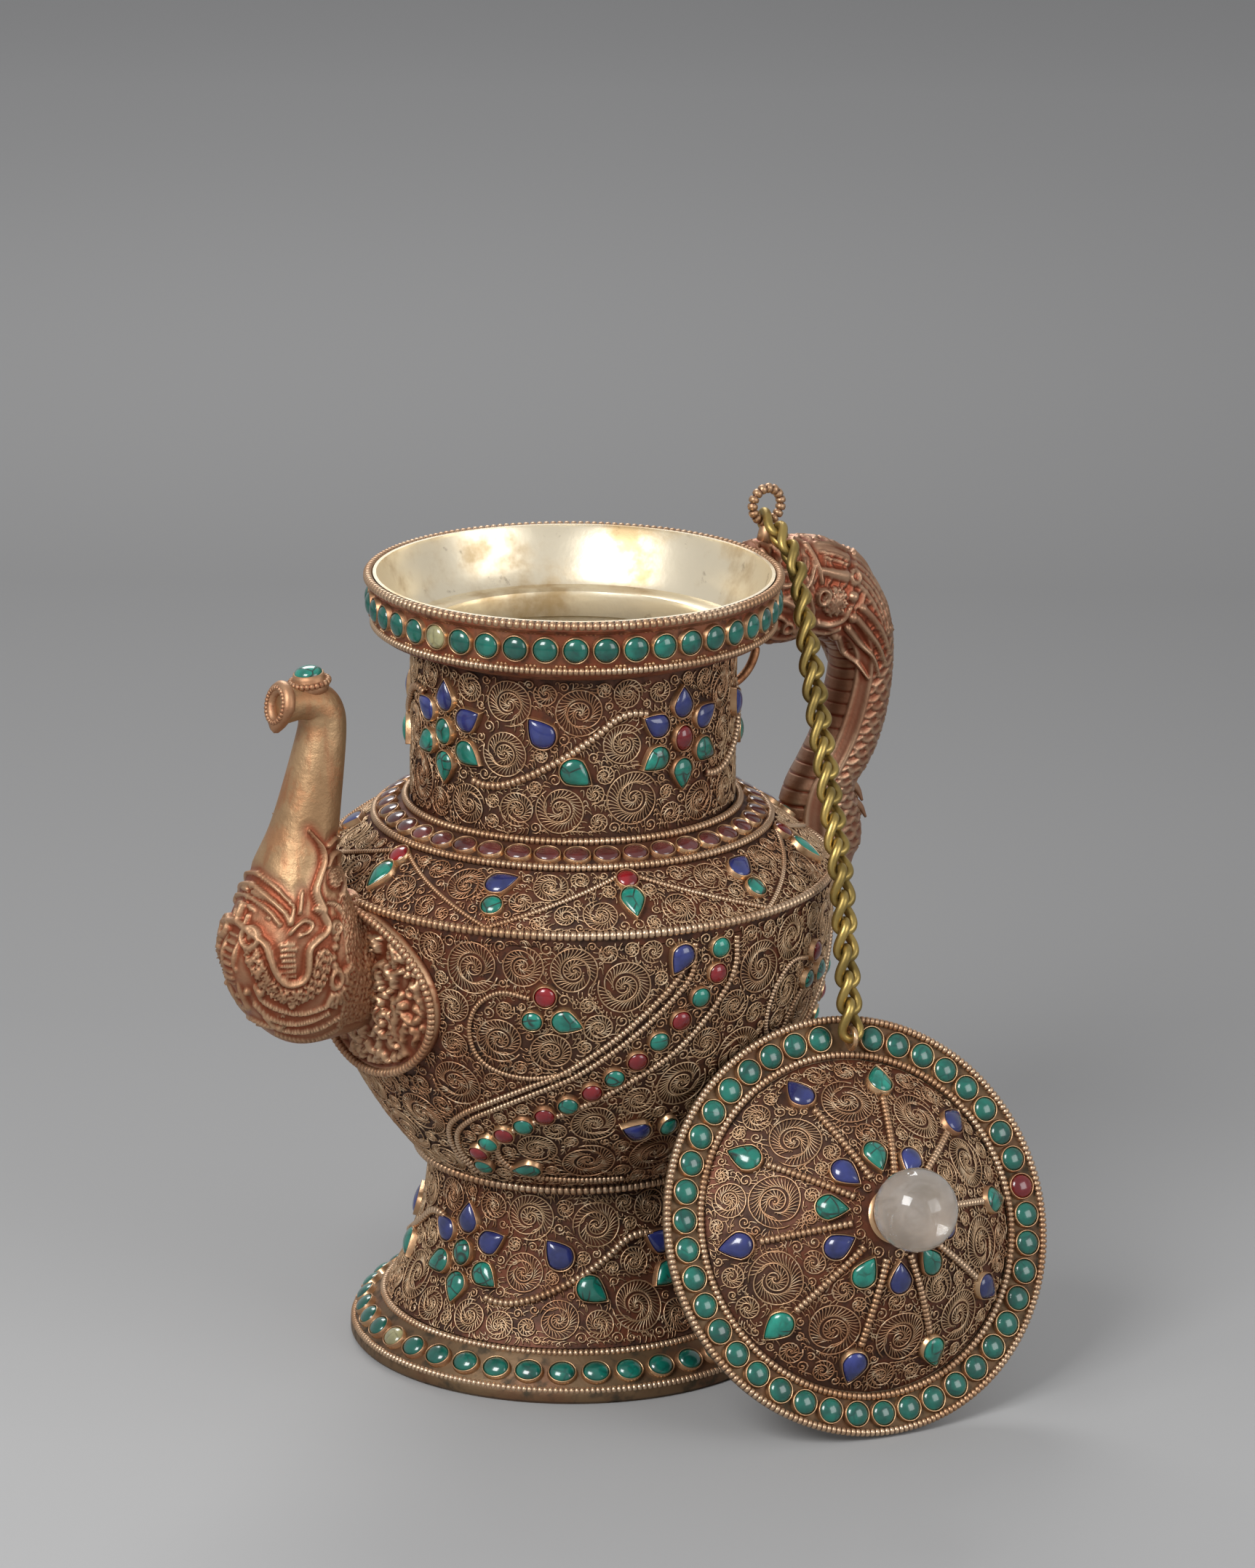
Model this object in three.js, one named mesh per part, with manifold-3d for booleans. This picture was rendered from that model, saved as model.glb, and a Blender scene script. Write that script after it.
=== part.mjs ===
import * as THREE from 'three';
import { mergeVertices } from 'three/addons/utils/BufferGeometryUtils.js';
import Module from 'manifold-3d';

// A Tibetan ewer with a domed lid on a chain, in millimetres, +Z up.
// The origin is on the ewer's axis at the underside of the foot.
// The spout points to -X, the handle to +X, and the lid leans against the belly on the -Y side.

// Sheet, clearances and how finely round pieces are divided
const SHEET = 1.5;
const SEAT_GAP = 0.3;
const CUT_OVERRUN = 12;
const ROUND_SIDES = 28;
const STONE_SIDES = 5;
const MERGE_DISTANCE = 0.0005;
const PLAIN_DISTANCE = 0.03;
const FULL_TURN = 2 * Math.PI;

// Where the first corner of a revolved piece lies, so that each stone of a ring sits on one flat
const FIRST_CORNER = -Math.PI / 2;

// Foot and pedestal
const FOOT_RADIUS = 64.4;
const FOOT_EDGE_HEIGHT = 4.4;
const FOOT_BEAD = 1;
const FOOT_SLOPE_RUN = 9;
const FOOT_SLOPE_RISE = 8.5;
const FOOT_INNER_RADIUS = FOOT_RADIUS - FOOT_SLOPE_RUN;
const FOOT_INNER_HEIGHT = FOOT_EDGE_HEIGHT + FOOT_SLOPE_RISE;
const FOOT_REST_WIDTH = 4;
const FOOT_STONES = 39;
const FOOT_STONE_WIDTH = 8.6;
const FOOT_STONE_LENGTH = 7.2;
const BASE_PLATE = 1.2;
const WAIST_RADIUS = 41.5;
const PEDESTAL_RISE = 44.1;
const WAIST_HEIGHT = FOOT_INNER_HEIGHT + PEDESTAL_RISE;
const WAIST_BEAD = 2.2;
const WAIST_BEAD_WIDTH = 3.4;

// Belly and shoulder
const BELLY_RADIUS = 76;
const BELLY_RISE = 86.5;
const BELLY_FULLNESS = 1.08;
const BELLY_POWER = 0.8;
const SHOULDER_HEIGHT = WAIST_HEIGHT + BELLY_RISE;
const SHOULDER_RISE = 15.6;
const SHOULDER_TOP = SHOULDER_HEIGHT + SHOULDER_RISE;
const EDGE_BEAD = 1.2;
const EDGE_BEAD_WIDTH = 3;

// Neck with the ring of garnets round its base
const NECK_RADIUS = 46.9;
const NECK_RISE = 55;
const NECK_TOP = SHOULDER_TOP + NECK_RISE;
const GARNET_LEDGE = 11.4;
const SHOULDER_INNER_RADIUS = NECK_RADIUS + GARNET_LEDGE;
const GARNET_RING_RISE = 5;
const GARNET_BEAD = 1.9;
const GARNETS = 40;
const GARNET_WIDTH = 7.4;
const GARNET_LENGTH = 5.6;

// Collar and dished rim
const COLLAR_OVERHANG = 11.3;
const COLLAR_RADIUS = NECK_RADIUS + COLLAR_OVERHANG;
const COLLAR_STEP = 1.9;
const COLLAR_BASE = NECK_TOP + COLLAR_STEP;
const COLLAR_BAND = 9.8;
const COLLAR_BEAD = 1;
const COLLAR_BEAD_WIDTH = 2.6;
const COLLAR_STONES = 43;
const COLLAR_STONE_WIDTH = 7.9;
const RIM_BEAD = 2.4;
const RIM_BEAD_WIDTH = 3.1;
const RIM_BEAD_RADIUS = COLLAR_RADIUS + RIM_BEAD;
const RIM_HEIGHT = COLLAR_BASE + COLLAR_BEAD_WIDTH + COLLAR_BEAD + COLLAR_BAND + RIM_BEAD_WIDTH;
const DISH_INSET = 0.8;
const DISH_MOUTH_RADIUS = COLLAR_RADIUS - DISH_INSET;
const DISH_LEDGE = 3.3;
const DISH_LEDGE_RADIUS = NECK_RADIUS + DISH_LEDGE;
const DISH_LEDGE_HEIGHT = COLLAR_BASE;
const DISH_SHEET = 1.2;
const DISH_SPIGOT = 7;

// Stones: how far they stand out, how far they reach into the sheet, and the width of their flat top
const STONE_RISE = 2.7;
const STONE_DEPTH_SHARE = 0.25;
const STONE_TOP_SHARE = 0.7;
const ROUND_STONE = 6.6;
const DROP_WIDTH = 7;
const DROP_LENGTH = 10;

// Flowers of stones on the neck and the pedestal, with a drop on each side of the vine between two of them
const FLOWERS = 4;
const FLOWER_PETALS = 6;
const FLOWER_RADIUS = 10.6;
const FLOWER_WAIST_SHARE = 0.55;
const FLOWER_FACING_SHARE = -0.465;
const NECK_FLOWER_HEIGHT = 30;
const PEDESTAL_FLOWER_HEIGHT = 20;
const DROP_SPREAD = 7.5;
const DROP_SHIFT = 6.8;
const DROP_LEAN = THREE.MathUtils.degToRad(30);

// Bands of stones up the belly, each with a trefoil beside it; the spout's boss takes the fifth place
const BANDS = 4;
const BAND_PLACES = 5;
const BAND_STONES = 6;
const BAND_FACING_SHARE = -0.248;
const BAND_TURN = 1.068;
const BAND_LOW = 9.6;
const BAND_RISE = 71.7;
const TREFOIL_PETALS = 3;
const TREFOIL_RADIUS = 7.6;
const TREFOIL_WAIST_SHARE = 0.62;
const TREFOIL_TURN = 0.66;
const TREFOIL_DROP = 20;

// Pairs of stones in the corners of the shoulder's zigzag
const CORNERS = 5;
const CORNER_FACING_SHARE = -0.3;
const HANDLE_CORNER = 3;
const PAIR_WIDTH = 6.6;
const PAIR_LENGTH = 13.4;
const CORNER_LIFT = 8.8;
const CORNER_SWING = 1.4;
const CORNER_LENGTH_SHARE = 0.75;

// Spout and the boss that it rises from
const BOSS_DROP = 24.5;
const BOSS_HEIGHT = SHOULDER_HEIGHT - BOSS_DROP;
const BOSS_HALF_HEIGHT = 26;
const BOSS_HALF_ARC = 28.5;
const BOSS_THICKNESS = 1.8;
const BOSS_BORDER = 1.4;
const BOSS_GAP = 0.45;
const BOSS_SIDES = 20;
const CUTTER_STEPS = 26;
const SPOUT_BORE_RADIUS = 8;
const SPOUT_SINK = 10;
const SPOUT_ROOT = BELLY_RADIUS - SPOUT_SINK;
const SPOUT_REACH = 50;
const SPOUT_DROP = 14.5;
const SPOUT_BASE = BOSS_HEIGHT - SPOUT_DROP;
const SPOUT_RISE = 107;
const SPOUT_HALF_WIDTH = 18.5;
const SPOUT_WALL = 2.3;
const SPOUT_SIDES = 12;
const LIP_RADIUS = 7;
const LIP_THICKNESS = 2.4;
const LIP_BORE_RADIUS = 2.9;
const CAP_RADIUS = 5.3;
const CAP_THICKNESS = 1.6;
const CAP_STONE_RADIUS = 3.9;
const CAP_STONE_RISE = 2.2;
const CAP_SIDES = 10;

// Handle and its stay
const HANDLE_SINK = 2;
const HANDLE_ROOT = BELLY_RADIUS - HANDLE_SINK;
const HEAD_STANDOFF = 15.8;
const HEAD_PLACE = COLLAR_RADIUS + HEAD_STANDOFF;
const HANDLE_REACH = 37;
const HANDLE_DROP = 15.5;
const HANDLE_BASE = SHOULDER_HEIGHT - HANDLE_DROP;
const HEAD_OVER_RIM = 2;
const HANDLE_TOP = RIM_HEIGHT + HEAD_OVER_RIM;
const HANDLE_RISE = HANDLE_TOP - HANDLE_BASE;
const HEAD_CREST_SHARE = 0.991;
const HANDLE_HALF_WIDTH = 10.6;
const HANDLE_SIDES = 12;
const LUMP_SIDES = 6;
const LUMP_RINGS = 3;
const LUMP_DEPTH = 3.4;
const STAY_RADIUS = 1.5;
const STAY_INSET = 9.8;
const STAY_RISE = 13;
const STAY_CLEARANCE = 0.9;
const JAW_SHARE = 0.7;

// Chain of twisted links, and the ring on the dragon's head that it hangs from
const LINK_COUNT = 21;
const LINK_WIRE = 1.2;
const LINK_SIDE_ROOM = 0.4;
const LINK_HALF_WIDTH = 2 * LINK_WIRE + LINK_SIDE_ROOM;
const LINK_CLEARANCE = 0.3;
const LINK_STEPS = 16;
const LINK_SIDES = 4;
const LEAD_LINKS = 3;
const TURNING_LINKS = 4;
const UPPER_RUN_LINKS = 12;
const CHAIN_SLACK = 1.01036;
const LEAD_START = pointing({ heading: -90, slope: -20 });
const LEAD_END = pointing({ heading: -109.3, slope: -55.4 });
const RING_RADIUS = 5;
const RING_WIRE = 1.05;
const RING_WAIST_SHARE = 0.82;
const RING_TWISTS = 11;
const RING_SIDES = 4;
const RING_STANDOFF = 8.8;
const RING_PLACE = COLLAR_RADIUS + RING_STANDOFF;
const LINK_ROOM = 1.15;
const RING_HEIGHT = HANDLE_TOP + RING_RADIUS + RING_WIRE + 2 * LINK_WIRE + LINK_ROOM;
const RING_POST = 1;
const RING_POST_ANGLE = THREE.MathUtils.degToRad(-30);

// Lid, at its leaning place
const LID_OVERHANG = 1.2;
const LID_RADIUS = COLLAR_RADIUS + LID_OVERHANG;
const LID_BEAD = 1;
const LID_PLATE = 2;
const LID_BEAD_HEIGHT = 0.9;
const LID_BAND = 11.5;
const LID_DOME_RADIUS = LID_RADIUS - LID_BAND;
const LID_DOME_RISE = 24;
const LID_DOME_POWER = 1.7;
const LID_DOME_SHEET = 1.3;
const LID_SLEEVE_STEP = 0.6;
const LID_SLEEVE_RADIUS = NECK_RADIUS + LID_SLEEVE_STEP;
const LID_SLEEVE_DEPTH = 8;
const LID_STONES = 41;
const LID_STONE_WIDTH = 7.9;
const LID_SLOPE = 24.6;
const LID_FACING = pointing({ heading: -97.4, slope: LID_SLOPE });
const LID_BEARING = pointing({ heading: -70.16, slope: 0 });
const LID_GAP = 2.4;
const LID_STANDOFF = BELLY_RADIUS + LID_RADIUS * Math.sin(THREE.MathUtils.degToRad(LID_SLOPE)) + LID_GAP;
const LID_DROPS = 10;
const LID_DROP_RADIUS = 38;
const LID_STAR_RADIUS = 22;
const LID_STAR_WAIST_SHARE = 0.68;
const BALL_RADIUS = 12;
const BALL_RINGS = 8;
const CUP_RADIUS = 7.6;
const CUP_WAIST_SHARE = 0.8;
const CUP_HEIGHT = 3.2;
const EYELET_RADIUS = 3.1;
const EYELET_WIRE = 1.1;
const EYELET_ANGLE = THREE.MathUtils.degToRad(7);
const EYELET_INSET = 5.9;
const EYELET_PLACE = LID_RADIUS - EYELET_INSET;

const wasm = await Module();
wasm.setup();
const UP = new THREE.Vector3(0, 0, 1);
const AXIS_Y = new THREE.Vector3(0, 1, 0);
const ewer = new THREE.Group();

// Unit direction from a heading round Z and a slope above level, both in degrees
function pointing({ heading, slope }) {
  const [turn, rise] = [heading, slope].map((angle) => THREE.MathUtils.degToRad(angle));
  return new THREE.Vector3(Math.cos(turn) * Math.cos(rise), Math.sin(turn) * Math.cos(rise), Math.sin(rise));
}

// Materials
function finish(color, metalness, roughness) {
  return () => new THREE.MeshStandardMaterial({ color, metalness, roughness });
}
const agedGilt = finish(0x9c6c44, 0.85, 0.5);
const paleGilt = finish(0xc9a46c, 0.9, 0.35);
const castGilt = finish(0xa8703f, 0.85, 0.45);
const brassWire = finish(0x8f7a3c, 0.9, 0.4);
const turquoise = finish(0x1f7d6a, 0, 0.35);
const garnet = finish(0x5e2420, 0, 0.3);
const rockCrystal = finish(0xdadada, 0, 0.1);

function addPiece(name, geometry, material, parent = ewer) {
  const mesh = new THREE.Mesh(geometry, material());
  mesh.name = name;
  parent.add(mesh);
  return mesh;
}

// Solids and their joins and cuts
function signedVolume(geometry) {
  const place = geometry.attributes.position;
  const index = geometry.index;
  const corner = [new THREE.Vector3(), new THREE.Vector3(), new THREE.Vector3()];
  let sum = 0;
  for (let i = 0; i < index.count; i += 3) {
    corner.forEach((c, k) => c.fromBufferAttribute(place, index.getX(i + k)));
    sum += corner[0].dot(corner[1].clone().cross(corner[2]));
  }
  return sum;
}

function closedMesh(geometry) {
  const bare = geometry.clone();
  bare.deleteAttribute('normal');
  bare.deleteAttribute('uv');
  const merged = mergeVertices(bare, MERGE_DISTANCE);
  const source = merged.index.array;
  const kept = [];
  for (let i = 0; i < source.length; i += 3) {
    const [a, b, c] = [source[i], source[i + 1], source[i + 2]];
    if (a !== b && b !== c && c !== a) kept.push(a, b, c);
  }
  merged.setIndex(kept);
  if (signedVolume(merged) < 0) {
    for (let i = 0; i < kept.length; i += 3) [kept[i + 1], kept[i + 2]] = [kept[i + 2], kept[i + 1]];
    merged.setIndex(kept);
  }
  return merged;
}

function toSolid(geometry) {
  const mesh = closedMesh(geometry);
  return new wasm.Manifold(new wasm.Mesh({
    numProp: 3,
    vertProperties: new Float32Array(mesh.attributes.position.array),
    triVerts: new Uint32Array(mesh.index.array),
  }));
}

function toGeometry(solid) {
  const mesh = solid.getMesh();
  const geometry = new THREE.BufferGeometry();
  geometry.setAttribute('position', new THREE.BufferAttribute(mesh.vertProperties, mesh.numProp));
  geometry.setIndex(new THREE.BufferAttribute(mesh.triVerts, 1));
  geometry.computeVertexNormals();
  return geometry;
}

// The same solid without the corners that its flat faces don't need
function plain(solid) {
  return solid.asOriginal().simplify(PLAIN_DISTANCE);
}

function joined(base, ...others) {
  return toGeometry(plain(others.reduce((sum, other) => sum.add(toSolid(other)), toSolid(base))));
}

// What is left of a base after its cutters: its largest piece, without slivers cut loose
function cut(base, ...cutters) {
  const rest = cutters.reduce((left, cutter) => left.subtract(toSolid(cutter)), toSolid(base));
  const pieces = plain(rest).decompose().sort((a, b) => b.volume() - a.volume());
  return toGeometry(pieces[0]);
}

// Surfaces of revolution about Z: a profile is a list of [radius, height] pairs
function revolve(profile, sides = ROUND_SIDES) {
  const points = profile.map(([radius, height]) => new THREE.Vector2(radius, height));
  const onAxis = profile[0][0] === 0 && profile.at(-1)[0] === 0;
  if (!onAxis) points.push(points[0].clone());
  return closedMesh(new THREE.LatheGeometry(points, sides).rotateX(Math.PI / 2));
}

// A skin over rings of equal point counts: capped at both ends, or joined end to end
function skin(rings, { loop = false } = {}) {
  const sides = rings[0].length;
  const points = rings.flat();
  const index = [];
  const spans = loop ? rings.length : rings.length - 1;
  for (let i = 0; i < spans; i++) {
    const here = i * sides;
    const next = ((i + 1) % rings.length) * sides;
    for (let j = 0; j < sides; j++) {
      const k = (j + 1) % sides;
      index.push(here + j, here + k, next + k, here + j, next + k, next + j);
    }
  }
  if (!loop) {
    for (const [first, turn] of [[0, true], [(rings.length - 1) * sides, false]]) {
      const middle = points.length;
      points.push(centreOf(points.slice(first, first + sides)));
      for (let j = 0; j < sides; j++) {
        const k = (j + 1) % sides;
        index.push(middle, first + (turn ? k : j), first + (turn ? j : k));
      }
    }
  }
  const geometry = new THREE.BufferGeometry().setFromPoints(points);
  geometry.setIndex(index);
  return closedMesh(geometry);
}

// Radius of a facetted ring that keeps the seat's gap all round to a round piece inside it
function clearOf(radius, sides) {
  return (radius + SEAT_GAP) / Math.cos(Math.PI / sides);
}

function centreOf(points) {
  return points.reduce((sum, p) => sum.add(p), new THREE.Vector3()).divideScalar(points.length);
}

// An oval ring between two points of the XZ plane, with a half width along Y
function ovalRing(inner, outer, halfWidth, sides) {
  const middle = inner.clone().lerp(outer, 0.5);
  const reach = outer.clone().sub(inner).multiplyScalar(0.5);
  return Array.from({ length: sides }, (_, i) => {
    const turn = (i / sides) * FULL_TURN;
    const across = AXIS_Y.clone().multiplyScalar(halfWidth * Math.sin(turn));
    return middle.clone().addScaledVector(reach, Math.cos(turn)).add(across);
  });
}

// Outer radius of the body at a height: the belly, its edge bead and the shoulder
function bellyRadius(height) {
  const share = THREE.MathUtils.clamp((height - WAIST_HEIGHT) / (SHOULDER_HEIGHT - WAIST_HEIGHT), 0, 1);
  const turn = Math.min(1, BELLY_FULLNESS * share ** BELLY_POWER) * (Math.PI / 2);
  return WAIST_RADIUS + (BELLY_RADIUS - WAIST_RADIUS) * Math.sin(turn);
}

function shoulderRadius(height) {
  const share = THREE.MathUtils.clamp((height - SHOULDER_HEIGHT) / SHOULDER_RISE, 0, 1);
  const crown = EDGE_BEAD * Math.sin(Math.PI * share);
  return THREE.MathUtils.lerp(BELLY_RADIUS, SHOULDER_INNER_RADIUS, share) + crown;
}

function bodyRadius(height) {
  const edge = BELLY_RADIUS + EDGE_BEAD;
  if (Math.abs(height - SHOULDER_HEIGHT) < EDGE_BEAD_WIDTH) return edge;
  return height < SHOULDER_HEIGHT ? bellyRadius(height) : shoulderRadius(height);
}

// The body from below the boss to the neck, swollen by a clearance, for cutting what rests against it
function bodyCutter(clearance) {
  const low = BOSS_HEIGHT - BOSS_HALF_HEIGHT - CUT_OVERRUN;
  const high = SHOULDER_HEIGHT + SHOULDER_RISE;
  const wall = Array.from({ length: CUTTER_STEPS + 1 }, (_, i) => {
    const height = THREE.MathUtils.lerp(low, high, i / CUTTER_STEPS);
    return [bodyRadius(height) + clearance, height];
  });
  return revolve([[0, low], ...wall, [NECK_RADIUS + clearance, high + clearance], [0, high + clearance]]);
}

// Stones: low domes with a flat top, set in rings round the Z axis
function cabochon(width, length, rise) {
  const profile = [[0, -STONE_DEPTH_SHARE], [1, -STONE_DEPTH_SHARE], [STONE_TOP_SHARE, 1], [0, 1]];
  const points = profile.map(([radius, height]) => new THREE.Vector2(radius, height));
  return new THREE.LatheGeometry(points, STONE_SIDES)
    .rotateX(Math.PI / 2)
    .scale(width / 2, length / 2, rise);
}

function stoneRing({ count, radius, height, tilt, width, length, rise, skip = [] }) {
  const stones = [];
  for (let i = 0; i < count; i++) {
    if (skip.includes(i)) continue;
    const turn = ((i + 0.5) / count) * FULL_TURN + FIRST_CORNER;
    const out = new THREE.Vector3(Math.cos(turn), Math.sin(turn), 0);
    const normal = out.clone().multiplyScalar(Math.cos(tilt)).addScaledVector(UP, Math.sin(tilt));
    const along = new THREE.Vector3().crossVectors(UP, out);
    const across = new THREE.Vector3().crossVectors(normal, along);
    const place = out.clone().multiplyScalar(radius).addScaledVector(UP, height);
    const matrix = new THREE.Matrix4().makeBasis(along, across, normal).setPosition(place);
    stones.push(cabochon(width, length, rise).applyMatrix4(matrix));
  }
  return stones;
}

// Outlines of what is set on curved sheet: points [across, along] about a middle
function starOutline(petals, radius, waistShare) {
  return Array.from({ length: 2 * petals }, (_, i) => {
    const turn = (i / (2 * petals)) * FULL_TURN;
    const reach = i % 2 ? radius * waistShare : radius;
    return [reach * Math.sin(turn), reach * Math.cos(turn)];
  });
}

function ovalOutline(width, length, sides = STONE_SIDES) {
  return Array.from({ length: sides }, (_, i) => {
    const turn = (i / sides) * FULL_TURN;
    return [(width / 2) * Math.sin(turn), (length / 2) * Math.cos(turn)];
  });
}

function turned(outline, angle) {
  const [cos, sin] = [Math.cos(angle), Math.sin(angle)];
  return outline.map(([across, along]) => [across * cos - along * sin, across * sin + along * cos]);
}

// Places on a turned wall round a middle: across is measured round it, along is upward, lift is outward
function onWall(radiusAt, facing, height) {
  return (across, along, lift) => {
    const radius = radiusAt(height + along);
    const turn = facing + across / radius;
    const reach = radius + lift;
    return new THREE.Vector3(reach * Math.cos(turn), reach * Math.sin(turn), height + along);
  };
}

function onDome(facing, distance) {
  return (across, along, lift) => {
    const radius = distance + along;
    const turn = facing + across / distance;
    return new THREE.Vector3(radius * Math.cos(turn), radius * Math.sin(turn), domeHeight(radius) + lift);
  };
}

// A setting with a flat top that follows the sheet it stands on
function setting(place, outline, rise = STONE_RISE) {
  const depth = SHEET / 2;
  return skin([
    outline.map(([across, along]) => place(across, along, -depth)),
    outline.map(([across, along]) => place(across * STONE_TOP_SHARE, along * STONE_TOP_SHARE, rise)),
  ]);
}

// Four flowers round a wall, and between them a drop below the vine and one above it
function flowerSettings(radiusAt, height) {
  const flower = starOutline(FLOWER_PETALS, FLOWER_RADIUS, FLOWER_WAIST_SHARE);
  const drop = ovalOutline(DROP_WIDTH, DROP_LENGTH);
  return Array.from({ length: FLOWERS }, (_, i) => {
    const facing = (FLOWER_FACING_SHARE + i / FLOWERS) * FULL_TURN;
    const between = facing + FULL_TURN / FLOWERS / 2;
    const spread = DROP_SPREAD / radiusAt(height);
    return [
      setting(onWall(radiusAt, facing, height), flower),
      setting(onWall(radiusAt, between - spread, height - DROP_SHIFT), turned(drop, DROP_LEAN)),
      setting(onWall(radiusAt, between + spread, height + DROP_SHIFT), turned(drop, -DROP_LEAN)),
    ];
  }).flat();
}

// Foot: a rest ring with oval stones on its slope, a plate inside it and the flared pedestal above
function buildFoot() {
  const bead = FOOT_RADIUS + FOOT_BEAD;
  const inner = FOOT_RADIUS - FOOT_REST_WIDTH;
  const band = revolve([
    [inner, 0], [FOOT_RADIUS, 0], [bead, FOOT_BEAD], [bead, FOOT_EDGE_HEIGHT - FOOT_BEAD],
    [FOOT_RADIUS, FOOT_EDGE_HEIGHT], [FOOT_INNER_RADIUS + FOOT_BEAD, FOOT_INNER_HEIGHT - SHEET],
    [FOOT_INNER_RADIUS, FOOT_INNER_HEIGHT], [FOOT_INNER_RADIUS - SHEET, FOOT_INNER_HEIGHT],
    [inner, FOOT_EDGE_HEIGHT - FOOT_BEAD],
  ], FOOT_STONES);
  const run = FOOT_RADIUS - FOOT_INNER_RADIUS - FOOT_BEAD;
  const rise = FOOT_INNER_HEIGHT - SHEET - FOOT_EDGE_HEIGHT;
  const stones = stoneRing({
    count: FOOT_STONES, radius: FOOT_RADIUS - run / 2, height: FOOT_EDGE_HEIGHT + rise / 2,
    tilt: Math.atan2(run, rise), width: FOOT_STONE_WIDTH, length: FOOT_STONE_LENGTH, rise: STONE_RISE,
  });
  addPiece('foot_ring', joined(band, ...stones), turquoise);
  addPiece('base_plate', revolve([
    [0, 0], [inner - SEAT_GAP, 0], [inner - SEAT_GAP, BASE_PLATE], [0, BASE_PLATE],
  ], FOOT_STONES), agedGilt);
}

function pedestalRadius(height) {
  const share = (height - FOOT_INNER_HEIGHT) / PEDESTAL_RISE;
  return WAIST_RADIUS + (FOOT_INNER_RADIUS - FOOT_BEAD - WAIST_RADIUS) * (1 - share) ** 2;
}

const PEDESTAL_SHARES = [0, 0.22, 0.52, 1];

function buildPedestal() {
  const low = FOOT_INNER_HEIGHT + SEAT_GAP;
  const high = WAIST_HEIGHT - SEAT_GAP;
  const outside = PEDESTAL_SHARES.map((share) => {
    const height = THREE.MathUtils.lerp(low, high, share);
    return [pedestalRadius(height), height];
  });
  const inside = outside.map(([radius, height]) => [radius - SHEET, height]).reverse();
  const wall = revolve([...outside, ...inside]);
  const flowers = flowerSettings(pedestalRadius, FOOT_INNER_HEIGHT + PEDESTAL_FLOWER_HEIGHT);
  addPiece('pedestal', joined(wall, ...flowers), agedGilt);
}

// Belly bowl: closed below, open above, with the waist bead at its foot, bands of stones that wind up it,
// and the way out to the spout
const BELLY_SHARES = [0.14, 0.34, 0.6, 1];

// The line of a band, from its upper end: shares of its turn back round the belly and of its rise
const BAND_SHARES = [[0, 1], [0.145, 0.717], [0.379, 0.484], [0.645, 0.303], [0.922, 0.134], [1, 0]];

function bandSettings() {
  const round = ovalOutline(ROUND_STONE, ROUND_STONE);
  const trefoil = starOutline(TREFOIL_PETALS, TREFOIL_RADIUS, TREFOIL_WAIST_SHARE);
  const low = WAIST_HEIGHT + BAND_LOW;
  const line = new THREE.CatmullRomCurve3(BAND_SHARES.map(([turnShare, riseShare]) => new THREE.Vector3(
    -turnShare * BAND_TURN * BELLY_RADIUS, low + riseShare * BAND_RISE, 0,
  )));
  return Array.from({ length: BANDS }, (_, i) => {
    const facing = (BAND_FACING_SHARE + i / BAND_PLACES) * FULL_TURN;
    const stones = line.getSpacedPoints(BAND_STONES - 1).map(({ x, y }) => (
      setting(onWall(bellyRadius, facing + x / BELLY_RADIUS, y), round)
    ));
    const beside = onWall(bellyRadius, facing - TREFOIL_TURN, low + BAND_RISE - TREFOIL_DROP);
    return [...stones, setting(beside, turned(trefoil, Math.PI))];
  }).flat();
}

function buildBelly() {
  const floor = WAIST_HEIGHT;
  const beadLow = floor + WAIST_BEAD;
  const beadHigh = beadLow + WAIST_BEAD_WIDTH;
  const top = SHOULDER_HEIGHT - EDGE_BEAD_WIDTH / 2;
  const wall = BELLY_SHARES.map((share) => THREE.MathUtils.lerp(beadHigh, top, share));
  const outside = wall.map((height) => [bellyRadius(height), height]);
  const inside = [...wall].reverse().map((height) => [bellyRadius(height) - SHEET, height]);
  const beadRadius = bellyRadius(beadLow) + WAIST_BEAD;
  const bowl = revolve([
    [0, floor], [WAIST_RADIUS, floor], [bellyRadius(beadLow), beadLow], [beadRadius, beadLow],
    [beadRadius, beadHigh], [bellyRadius(beadHigh), beadHigh], ...outside, ...inside,
    [WAIST_RADIUS - SHEET, floor + SHEET], [0, floor + SHEET],
  ]);
  addPiece('belly_bowl', cut(joined(bowl, ...bandSettings()), spoutBore()), agedGilt);
}

function spoutBore() {
  const length = BELLY_RADIUS / 2;
  return new THREE.CylinderGeometry(SPOUT_BORE_RADIUS, SPOUT_BORE_RADIUS, length, SPOUT_SIDES)
    .rotateZ(Math.PI / 2)
    .translate(-BELLY_RADIUS + SPOUT_BORE_RADIUS, 0, BOSS_HEIGHT);
}

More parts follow.
